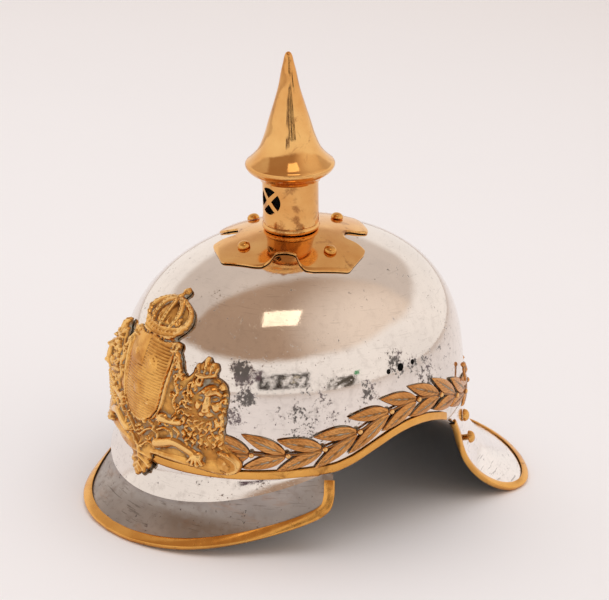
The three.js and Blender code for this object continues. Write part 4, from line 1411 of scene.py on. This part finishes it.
def crownRelief(ax, x, z):
    h = dome(x, z, 0, 82.6, 19.2, 10.6, 3.4, 0.6)
    arches = [
        [(0, 79), (0, 85), (0, 91.6)],
        [(7.6, 79), (9.2, 84), (7.2, 89), (2.2, 92)],
        [(14.6, 80), (17.6, 84), (14.6, 88.8), (8.4, 91.6), (2.6, 92.4)],
    ]
    for points in arches:
        line = pathCurve(points, 24)
        h = np.maximum(h, stroke(ax, z, line, 1.5, 4.6))
        for px, pz in line[2:-1:3]:
            h += dome(ax, z, px, pz, 0.85, 0.85, 0.75)
    for px, pz, size in ((3.9, 81.4, 1.7), (11.4, 81.8, 1.8), (17.2, 81.6, 1.5), (0, 80.8, 1.6)):
        h = np.maximum(h, 2.4 + dome(ax, z, px, pz + 0.9, size * 0.7, size * 1.25, 1.9) * (h > 0.5))
        h = np.maximum(h, dome(ax, z, px - 1.2, pz, size * 0.7, size * 0.7, 3.9))
        h = np.maximum(h, dome(ax, z, px + 1.2, pz, size * 0.7, size * 0.7, 3.9))
    bandLine = [(s, 76.6 + 0.009 * s * s) for s in np.linspace(-15.5, 15.5, 24)]
    h = np.maximum(h, stroke(x, z, bandLine, 2.9, 4.0, power=0.25))
    for lift, size in ((2.1, 0.62), (-2.1, 0.62)):
        h = np.maximum(h, stroke(x, z, [(px, pz + lift) for px, pz in bandLine], size, 4.7))
    for k, px in enumerate(np.arange(-13.5, 14, 3.0)):
        pz = 76.6 + 0.009 * px * px
        h = np.maximum(h, dome(x, z, px, pz, 1.25 if k % 2 else 0.85, 0.95, 5.0))
    h = np.maximum(h, dome(x, z, 0, 92.4, 2.2, 2.0, 4.6))
    h = np.maximum(h, stroke(x, z, [(0, 93), (0, 96.6)], 0.9, 3.2, 1.1))
    return np.maximum(h, stroke(x, z, [(-2.2, 95.4), (2.2, 95.4)], 0.95, 3.1))


def shieldRelief(ax, x, z):
    inside = shieldField(x, z)
    bulge = 3.0 + 1.7 * np.clip(1 - (x / 20) ** 2, 0, 1) - 0.0011 * (z - 48) ** 2 * 0.6
    h = np.where(inside > 0, bulge, 0)
    plain = (x < -1.4) & (z > 57.5)  # the smooth quarter
    h -= np.where((inside > 0) & (np.abs(x + 1.4) < 0.5) & (z > 57.5), 0.3, 0)
    h -= np.where((inside > 0) & (x < -1.4) & (np.abs(z - 57.5) < 0.5), 0.3, 0)
    frameRidge = np.exp(-(((inside + 2.2) / 1.25) ** 2)) * 4.6
    innerRidge = np.exp(-(((inside + 0.1) / 0.6) ** 2)) * 4.3
    near = (inside > -5) & (z > 25) & (z < 75)
    h = np.maximum(h, np.where(near, np.maximum(frameRidge, innerRidge), 0))
    # curled corners and the split in the frame's side
    h = np.maximum(h, stroke(ax, z, arcPoints(17.6, 72.4, 2.9, -120, 230, 18, 0.35), 1.05, 5.4, 0.8))
    h = np.maximum(h, stroke(ax, z, [(21.4, 69.8), (22.6, 66.4), (21.4, 63.2)], 1.5, 5.0, 0.9))
    h = np.maximum(h, stroke(ax, z, arcPoints(22.4, 62.2, 1.6, 80, -160, 12, 0.5), 0.8, 4.6, 0.6))
    h = np.maximum(h, stroke(ax, z, arcPoints(6.8, 73.2, 1.9, 200, -60, 12, 0.5), 0.8, 4.6, 0.6))
    # small plain bosses on the field
    for px, pz, size in ((5.8, 60.4, 3.4), (-10.4, 62.6, 2.0), (-2.2, 44.6, 2.5), (7.6, 38.5, 1.7)):
        petals = [math.radians(60 * k + 20) for k in range(6)]
        knobs = [(px + size * 0.55 * math.cos(a), pz + size * 0.55 * math.sin(a), 0.55) for a in petals]
        for kx, kz, tall in knobs + [(px, pz, 0.8)]:
            knob = dome(x, z, kx, kz, size * 0.4, size * 0.4, tall)
            h = np.maximum(h, (knob > 0) * bulge + knob)
    return h


def hatchLines(x, z):
    # fine grooves across the shield, but not in its plain quarter
    inside = shieldField(x, z)
    plain = (x < -1.4) & (z > 57.5)
    groove = 0.5 + 0.5 * np.sin(2 * math.pi * (z + 0.05 * x) / plate["hatchPitch"])
    bosses = dome(x, z, 5.8, 60.4, 4.6, 4.6, 1.0) + dome(x, z, -2.2, 44.6, 3.4, 3.4, 1.0)
    return np.where((inside > 1.1) & ~plain & (bosses <= 0), plate["hatchDepth"] * groove, 0)


def lionFace(x, z):
    # a calm lion's face looking out, in the place of the head
    h = np.zeros_like(x)
    h = np.maximum(h, dome(x, z, 45.6, 46.6, 8.0, 11.2, 6.4, 0.5))
    h += dome(x, z, 45.6, 55.0, 5.4, 3.4, 1.3)
    for s in (-1, 1):
        brow = [(45.6 + s * 0.9, 52.4), (45.6 + s * 3.2, 53.6), (45.6 + s * 6.0, 51.8)]
        h += stroke(x, z, brow, 1.2, 1.5, 0.8, 0.8)
        h -= dome(x, z, 45.6 + s * 3.4, 49.9, 2.5, 1.8, 1.7, 0.8)
        h += dome(x, z, 45.6 + s * 3.4, 49.8, 1.5, 1.0, 1.3)
        h -= stroke(x, z, [(45.6 + s * 1.6, 48.3), (45.6 + s * 3.6, 48.0), (45.6 + s * 5.6, 49.0)], 0.55, 0.6)
        h += dome(x, z, 45.6 + s * 4.9, 45.2, 2.6, 3.0, 1.3, 0.8)
        h -= stroke(x, z, [(45.6 + s * 2.0, 45.6), (45.6 + s * 3.6, 42.4), (45.6 + s * 5.2, 38.8)], 0.7, 0.9)
        h += dome(x, z, 45.6 + s * 2.0, 40.6, 2.5, 2.0, 1.5, 0.7)
        h -= stroke(x, z, [(45.6, 39.4), (45.6 + s * 1.9, 38.2), (45.6 + s * 4.2, 39.3)], 0.75, 1.5)
        h -= dome(x, z, 45.6 + s * 1.2, 42.4, 0.6, 0.5, 0.8)
    h += stroke(x, z, [(45.6, 53.4), (45.6, 47.5), (45.6, 43.6)], 1.5, 2.3, 2.2, 0.7)
    h += dome(x, z, 45.6, 43.0, 2.5, 1.4, 1.2)
    h -= stroke(x, z, [(45.6, 42.0), (45.6, 39.8)], 0.5, 0.9)
    h += dome(x, z, 45.6, 36.4, 2.7, 1.7, 1.4)
    return h


def lionRelief(x, z):
    # the lion on the wearer's left; x is measured outwards, so the other one mirrors it
    rng = np.random.default_rng(plate["seed"])
    h = dome(x, z, 43.2, 41.5, 13.4, 18.5, 4.9, 0.5)
    h = np.maximum(h, dome(x, z, 47.5, 26, 9.5, 9.5, 3.6, 0.5))
    # locks round the face
    for ring, (reach, size) in enumerate(((8.6, 1.35), (11.0, 1.45))):
        for k, a in enumerate(np.arange(-235, 55, 17 if ring else 20)):
            a = a + 6 * ring + rng.uniform(-3, 3)
            wide, tall = reach, reach * 1.32
            lock = []
            for aside, up, back in ((0, 0, 0), (2.0, 2.0, 8), (3.6, 3.4, 17)):
                turn = math.radians(a - back)
                lock.append((45.4 + (wide + aside) * math.cos(turn), 47.0 + (tall + up) * math.sin(turn)))
            h = np.maximum(h, stroke(x, z, pathCurve(lock, 7), size, 6.6 - ring * 0.9, 0.5, 0.7))
    # rows of hanging locks on the chest
    for row, pz in enumerate((34.5, 30.2, 26.0, 21.8)):
        for px in np.arange(33.6 + (row % 2) * 1.8, 55.2, 3.6):
            px = px + rng.uniform(-0.35, 0.35)
            sway = 0.8 if (row + int(px)) % 2 else -0.8
            lock = [(px, pz + 1.8), (px + sway, pz), (px - 0.6 * sway, pz - 2.0), (px + 0.3 * sway, pz - 3.6)]
            h = np.maximum(h, stroke(x, z, pathCurve(lock, 9), 1.55, 6.4 - 0.3 * row, 0.5, 0.75))
    # curls between the shield and the head
    curls = [(35.6, 55.4, 2.1), (33.6, 50.2, 2.3), (32.8, 44.6, 2.2), (32.2, 39.0, 2.2),
             (33.2, 33.6, 2.0), (39.2, 58.2, 2.0), (51.8, 56.6, 2.0), (53.4, 48.4, 1.6)]
    for px, pz, r in curls:
        h = np.maximum(h, stroke(x, z, arcPoints(px, pz, r, 200, -150, 16, 0.25), 0.85, 5.6, 0.6))
    h = np.maximum(h, lionFace(x, z))
    for s in (-1, 1):  # ears
        h = np.maximum(h, dome(x, z, 45.4 + s * 6.3, 56.6, 1.9, 1.7, 6.6))
        h -= dome(x, z, 45.4 + s * 6.4, 56.6, 0.9, 0.8, 0.9)
    # the small crown
    h = np.maximum(h, dome(x, z, 40.6, 65.2, 6.2, 4.6, 3.6, 0.5))
    h = np.maximum(h, stroke(x, z, [(36.4, 61.3), (41.0, 60.7), (46.4, 62.0)], 1.35, 5.6, power=0.3))
    for tip in ((34.9, 66.4), (38.6, 70.6), (42.6, 68.0), (45.9, 65.4)):
        foot = (37.6 + (tip[0] - 35) * 0.72, 62)
        h = np.maximum(h, stroke(x, z, [foot, tip], 0.8, 4.9))
        h = np.maximum(h, dome(x, z, tip[0], tip[1] - 0.3, 1.25, 1.25, 5.0))
    for px in (37.4, 40.2, 43.0, 45.6):
        h = np.maximum(h, dome(x, z, px, 61.2 + 0.1 * (px - 41), 0.7, 0.6, 6.3))
    return h


def pawRelief(x, z):
    arm = pathCurve([(14.5, 15.2), (20.5, 17.2), (27.2, 19.4), (34.0, 17.6), (39.4, 14.6)], 20)
    h = stroke(x, z, arm, 3.5, 5.4, 3.3, 0.42)
    h = np.maximum(h, dome(x, z, 40.6, 13.4, 4.4, 3.8, 5.9, 0.4))
    for k, (px, pz) in enumerate(((36.8, 9.8), (39.2, 8.5), (41.8, 8.2), (44.4, 9.2))):
        h = np.maximum(h, stroke(x, z, [(40.2 + (px - 40) * 0.4, 13.2), (px, pz + 0.6)], 1.15, 6.6, 1.2))
        h = np.maximum(h, stroke(x, z, [(px, pz + 0.2), (px + 0.2, pz - 1.3)], 0.55, 4.6, 0.35))
    # the other paw holds the shield's foot
    h = np.maximum(h, dome(x, z, 19.6, 32.6, 4.3, 3.6, 6.0, 0.42))
    h = np.maximum(h, stroke(x, z, [(30.5, 32.5), (25.5, 31.8), (21, 32.4)], 2.6, 5.2, 2.4))
    for px, pz in ((15.2, 34.4), (14.8, 32.0), (15.6, 29.8), (17.6, 28.4)):
        h = np.maximum(h, stroke(x, z, [(19.0, 32.4), (px, pz)], 1.05, 6.5, 0.8))
    return h


def ribbonRelief(ax, z):
    centre = np.interp(ax, [0, 12, 20, 30, 40, 48, 54, 60], [8.6, 8.8, 8.8, 8.7, 8.6, 8.6, 9.4, 11.0])
    half = np.interp(ax, [10, 14, 50, 58], [1.4, 2.3, 4.0, 5.5])
    inside = half - np.abs(z - centre)
    h = np.where((ax > 10) & (ax < 60), 3.0 * smoothStep(inside, -0.2, 0.7) - 0.05 * (z - centre) ** 2, 0)
    h += np.where((ax > 12) & (ax < 56), 0.4 * np.exp(-(((inside - 0.6) / 0.35) ** 2)), 0)
    end = dome(ax, z, 57.6, 10.8, 6.4, 7.6, 4.6, 0.35, 0.5)
    h = np.maximum(h, end)
    fold = pathCurve([(52.5, 17.6), (56.6, 15.4), (60.4, 11.6), (60.6, 7.4), (56.8, 5.2)], 16)
    h = np.maximum(h, stroke(ax, z, fold, 1.0, 5.5, 0.9))
    h -= stroke(ax, z, pathCurve([(52.0, 14.8), (55.8, 13.2), (58.0, 10.2), (57.2, 7.6)], 12), 0.45, 0.7)
    h = np.maximum(h, dome(ax, z, 55.4, 11.6, 1.2, 1.2, 4.9))
    return h


def flourishRelief(ax, z):
    h = np.zeros_like(ax)
    scrolls = [
        ([(23.4, 66.0), (26.4, 60.4), (24.8, 55.0), (27.6, 49.6), (25.4, 44.2), (28.0, 38.8), (25.4, 34.6)], 1.05, 3.9),
        ([(2.6, 17.8), (6.8, 21.6), (11.8, 23.4), (15.6, 21.0), (14.4, 17.8), (11.4, 18.6)], 1.05, 3.9),
        ([(16.4, 24.8), (20.8, 26.8), (25.0, 25.2), (26.0, 22.0), (23.6, 20.8)], 1.0, 3.8),
        ([(3.4, 10.6), (6.6, 13.4), (10.6, 13.6), (12.6, 11.2)], 0.9, 3.4),
        ([(27.6, 28.6), (30.2, 26.0), (29.4, 22.8)], 0.9, 3.6),
        ([(9.6, 27.8), (12.8, 25.6), (11.6, 22.8)], 0.8, 3.6),
    ]
    for points, radius, height in scrolls:
        h = np.maximum(h, stroke(ax, z, pathCurve(points, 26), radius * 1.25, height + 1.5, 0.7, 0.7))
    spirals = [(24.6, 57.6, 20), (28.4, 52.6, 160), (24.4, 47.2, 20), (28.6, 42.0, 160), (29.0, 58.4, 100),
               (22.8, 29.6, 60), (8.8, 17.4, 200), (28.6, 33.4, 90), (5.2, 26.2, 40)]
    for px, pz, start in spirals:
        h = np.maximum(h, stroke(ax, z, arcPoints(px, pz, 1.9, start, start + 300, 14, 0.3), 0.95, 5.4, 0.6, 0.7))
    for k in range(6):  # the flower under the shield
        a = math.radians(60 * k + 30)
        h = np.maximum(h, dome(ax, z, 2.9 * math.cos(a), 19.4 + 2.9 * math.sin(a), 1.75, 1.3, 4.6, 0.5, a))
    h = np.maximum(h, dome(ax, z, 0, 19.4, 1.5, 1.5, 5.3))
    for s in (0, 5.0, 9.2):  # leaves that fan out above the pendant
        h = np.maximum(h, stroke(ax, z, [(s * 0.25, 9.2), (s * 0.7, 12.0), (s, 14.4)], 1.2, 3.9, 0.5))
    # pendant leaf
    h = np.maximum(h, stroke(ax, z, [(0, 9), (0, -8.6)], 1.7, 4.4, 0.8))
    lobes = [((0, 5.4), (8.4, 4.2)), ((0, 2.4), (8.4, -2.2)), ((0, -1.6), (5.4, -5.6)), ((0, -4), (2.8, -7.6))]
    for foot, tip in lobes:
        h = np.maximum(h, stroke(ax, z, [foot, tip], 1.75, 3.9, 0.9))
    return h


def softened(h, radius):
    kernel = np.exp(-0.5 * (np.arange(-3 * radius, 3 * radius + 1) / radius) ** 2)
    kernel /= kernel.sum()

    def spread(row):
        return np.convolve(np.pad(row, 3 * radius, mode="edge"), kernel, mode="valid")

    return np.apply_along_axis(spread, 1, np.apply_along_axis(spread, 0, h))


def buildPlate():
    step = plate["step"]
    xs, zs = np.arange(-66, 66 + step / 2, step), np.arange(-11.5, 99 + step / 2, step)
    x, z = np.meshgrid(xs, zs)
    ax = np.abs(x)
    edge = plateEdge(x, z)
    floorHeight = plate["floor"] + 0.35 * np.sin(0.9 * x + 1.3 * np.sin(0.7 * z)) * np.sin(0.8 * z)
    h = np.maximum(floorHeight, crownRelief(ax, x, z))
    h = np.maximum(h, shieldRelief(ax, x, z))
    h = np.maximum(h, flourishRelief(ax, z))
    h = np.maximum(h, lionRelief(ax, z))
    h = np.maximum(h, ribbonRelief(ax, z))
    h = np.maximum(h, pawRelief(ax, z))
    h = h * (0.45 + 0.55 * smoothStep(edge, -0.2, 1.5))
    h = 0.6 * h + 0.4 * softened(h, 1) - hatchLines(x, z)
    around, wider = softened(h, 3), softened(h, 8)
    hollow = np.clip(0.5 + (around - h) * 0.55 + (wider - h) * 0.09, 0, 1)
    centre = (edge[:-1, :-1] + edge[1:, :-1] + edge[:-1, 1:] + edge[1:, 1:]) / 4
    keep = centre > 0
    used = np.zeros(x.shape, int)
    for dr, dc in ((0, 0), (1, 0), (0, 1), (1, 1)):
        used[dr:dr + keep.shape[0], dc:dc + keep.shape[1]] += keep
    border = (used > 0) & (used < 4)
    slopeZ, slopeX = np.gradient(edge, step)
    size = np.maximum(np.hypot(slopeX, slopeZ), 0.5)
    x = np.where(border, x - edge * slopeX / size**2, x)
    z = np.where(border, z - edge * slopeZ / size**2, z)
    t = np.clip(z / bowlShape["height"], 0, 1)
    reach = (bowlShape["halfWidth"] + 3) * np.maximum(np.sqrt(1 - t ** bowlShape["power"]), 0.55)
    angle = np.degrees(np.arcsin(np.clip(x / reach, -0.95, 0.95)))
    lift = plate["overBand"] + (plate["back"] - plate["overBand"]) * smoothStep(z, 7, 13)
    back = lift + bowlShape["skirtFlare"] * (np.maximum(-z, 0) / bowlShape["skirtDrop"]) ** 1.2
    front = bowl(angle, z, back + h)
    rear = bowl(angle, z, back)
    number = -np.ones(x.shape, int)
    number[used > 0] = np.arange((used > 0).sum())
    count = (used > 0).sum()
    r, c = np.nonzero(keep)
    top = np.stack([number[r, c], number[r, c + 1], number[r + 1, c + 1], number[r + 1, c]], -1)
    faces = top.tolist() + (top[:, ::-1] + count).tolist()
    padded = np.pad(keep, 1)
    sides = [(-1, 0, (0, 1), (0, 0)), (1, 0, (1, 0), (1, 1)), (0, -1, (0, 0), (1, 0)), (0, 1, (1, 1), (0, 1))]
    for dr, dc, a, b in sides:
        exposed = keep & ~padded[1 + dr:1 + dr + keep.shape[0], 1 + dc:1 + dc + keep.shape[1]]
        r, c = np.nonzero(exposed)
        first, second = number[r + a[0], c + a[1]], number[r + b[0], c + b[1]]
        faces += np.stack([first, second, second + count, first + count], -1).tolist()
    points = np.concatenate([front[used > 0], rear[used > 0]])
    piece = makeMesh("frontPlate", toRow(points), faces, [plateBrass])
    values = np.concatenate([hollow[used > 0], np.ones(count)])
    setHollow(piece, values)
    sharpEdges(piece, 70)
    settled(piece, ["front_plate"])


buildPlate()
print("front plate made")


# studio

studio = {
    "floorColour": (0.91, 0.90, 0.91),
    "low": (0.97, 0.91, 0.865),  # what the room shows below the ceiling
    "high": (0.68, 0.585, 0.52),
    "taupe": (0.44, 0.30, 0.21),
    "taupeBright": (0.88, 0.74, 0.63),
    "cameraDistance": 1300.0,
    "azimuth": 50.79,
    "elevation": 22.98,
    "roll": -0.893,
    "aim": (0, 0, 63.38),
    "lens": 124.26,
    "shift": (0.01998, 0.01491),
    "softBox": (52.0, 65.0, 1.6, 0.56, 0.42, 0.85),  # azimuth, elevation, distance, size, power
    "overhead": (-40, 84, 2.4, 3.8, 3.8, 46),
    "worldStrength": 1.0,
    "things": [  # azimuth, elevation, half width, half height, colour, how broken up
        (62, 9, 17, 6.5, (0.045, 0.035, 0.03), 0.43),
        (66, 10, 6, 3.2, (0.75, 0.66, 0.52), 0.52),
        (97, 2, 9, 5, (0.08, 0.065, 0.05), 0.46),
        (40, 14, 8, 5, (0.12, 0.08, 0.09), 0.43),
        (106, 7, 1.5, 1.5, (0.05, 0.30, 0.11), 0.0),
    ],
}


def direction(azimuth, elevation):
    a, e = math.radians(azimuth), math.radians(elevation)
    return Vector((math.sin(a) * math.cos(e), -math.cos(a) * math.cos(e), math.sin(e)))


def buildWorld():
    world = bpy.data.worlds.new("studioRoom")
    bpy.context.scene.world = world
    world.use_nodes = True
    tree = world.node_tree
    tree.nodes.clear()
    output = tree.nodes.new("ShaderNodeOutputWorld")
    background = tree.nodes.new("ShaderNodeBackground")
    tree.links.new(background.outputs[0], output.inputs[0])
    way = tree.nodes.new("ShaderNodeTexCoord").outputs["Generated"]

    def along(azimuth, elevation):
        node = tree.nodes.new("ShaderNodeVectorMath")
        node.operation = "DOT_PRODUCT"
        tree.links.new(way, node.inputs[0])
        node.inputs[1].default_value = direction(azimuth, elevation)
        return node.outputs["Value"]

    up = along(0, 90)
    wobble = times(tree, minus(tree, noise(tree, way, 2.2, 3), 0.5), 0.14)
    ceiling = between(tree, plus(tree, up, wobble), 0.40, 0.52)
    near = between(tree, plus(tree, along(66, 15), wobble), -0.03, 0.10)
    shade = blendColour(tree, between(tree, along(128, 34), 0.55, 1.0), studio["taupe"], studio["taupeBright"])
    colour = blendColour(tree, near, studio["high"], shade)
    colour = blendColour(tree, ceiling, studio["low"], colour)

    def standing(azimuth, elevation, wide, tall, tint, broken):
        # a thing that stands round the table, seen only in the polish
        aside = maths(tree, "ABSOLUTE", along(azimuth + 90, 0))
        above = maths(tree, "ABSOLUTE", minus(tree, up, math.sin(math.radians(elevation))))
        reach, rise = math.sin(math.radians(wide)), math.sin(math.radians(tall))
        inside = times(tree, between(tree, aside, reach, 0.85 * reach), between(tree, above, rise, 0.8 * rise))
        inside = times(tree, inside, between(tree, along(azimuth, 0), 0.1, 0.2))
        ragged = between(tree, noise(tree, way, 15, 5, 0.6), broken, broken + 0.05)
        return blendColour(tree, times(tree, inside, ragged), colour, tint)

    for thing in studio["things"]:
        colour = standing(*thing)
    tree.links.new(colour, background.inputs["Color"])
    background.inputs["Strength"].default_value = studio["worldStrength"]


def buildFloor():
    size = 9.0
    points = [(-size, -size, 0), (size, -size, 0), (size, size, 0), (-size, size, 0)]
    mesh = bpy.data.meshes.new("studioFloor")
    mesh.from_pydata(points, [], [[0, 1, 2, 3]])
    material, tree, shader, coords = newMaterial("floorPaper")
    darker = tuple(0.985 * v for v in studio["floorColour"])
    tint = blendColour(tree, noise(tree, coords, 3.0, 3), studio["floorColour"], darker)
    tree.links.new(tint, shader.inputs["Base Color"])
    shader.inputs["Roughness"].default_value = 0.9
    mesh.materials.append(material)
    floor = bpy.data.objects.new("studioFloor", mesh)
    bpy.context.scene.collection.objects.link(floor)


def areaLight(name, azimuth, elevation, distance, width, height, power, colour=(1, 1, 1), mirrored=True):
    light = bpy.data.lights.new(name, "AREA")
    light.shape = "RECTANGLE"
    light.size, light.size_y = width, height
    light.energy = power
    light.color = colour
    lamp = bpy.data.objects.new(name, light)
    bpy.context.scene.collection.objects.link(lamp)
    lamp.visible_glossy = mirrored
    target = Vector((0, 0, 0.15))
    lamp.location = target + direction(azimuth, elevation) * distance
    lamp.rotation_euler = (target - lamp.location).to_track_quat("-Z", "Y").to_euler()


def buildCamera():
    away = np.array(direction(studio["azimuth"], studio["elevation"]))
    place = np.array(studio["aim"]) + studio["cameraDistance"] * away
    right = unit(np.cross([0, 0, 1.0], away))
    up = np.cross(away, right)
    roll = math.radians(studio["roll"])
    right, up = right * math.cos(roll) + up * math.sin(roll), -right * math.sin(roll) + up * math.cos(roll)
    data = bpy.data.cameras.new("camera")
    data.lens = studio["lens"]
    data.sensor_width = 36
    data.sensor_fit = "HORIZONTAL"
    data.shift_x, data.shift_y = studio["shift"]
    data.clip_end = 50
    camera = bpy.data.objects.new("camera", data)
    bpy.context.scene.collection.objects.link(camera)
    axes = turned(np.array([right, up, away]))
    matrix = Matrix([[*axes[:, k], 0] for k in range(3)] + [[0, 0, 0, 1]])
    matrix.translation = Vector(toRow(place))
    camera.matrix_world = matrix
    bpy.context.scene.camera = camera


buildWorld()
buildFloor()
areaLight("softBox", *studio["softBox"], (1.0, 0.86, 0.66))
areaLight("overhead", *studio["overhead"], (0.74, 0.87, 1.0), False)
buildCamera()
bpy.context.scene.view_settings.view_transform = "Standard"
print("studio set")
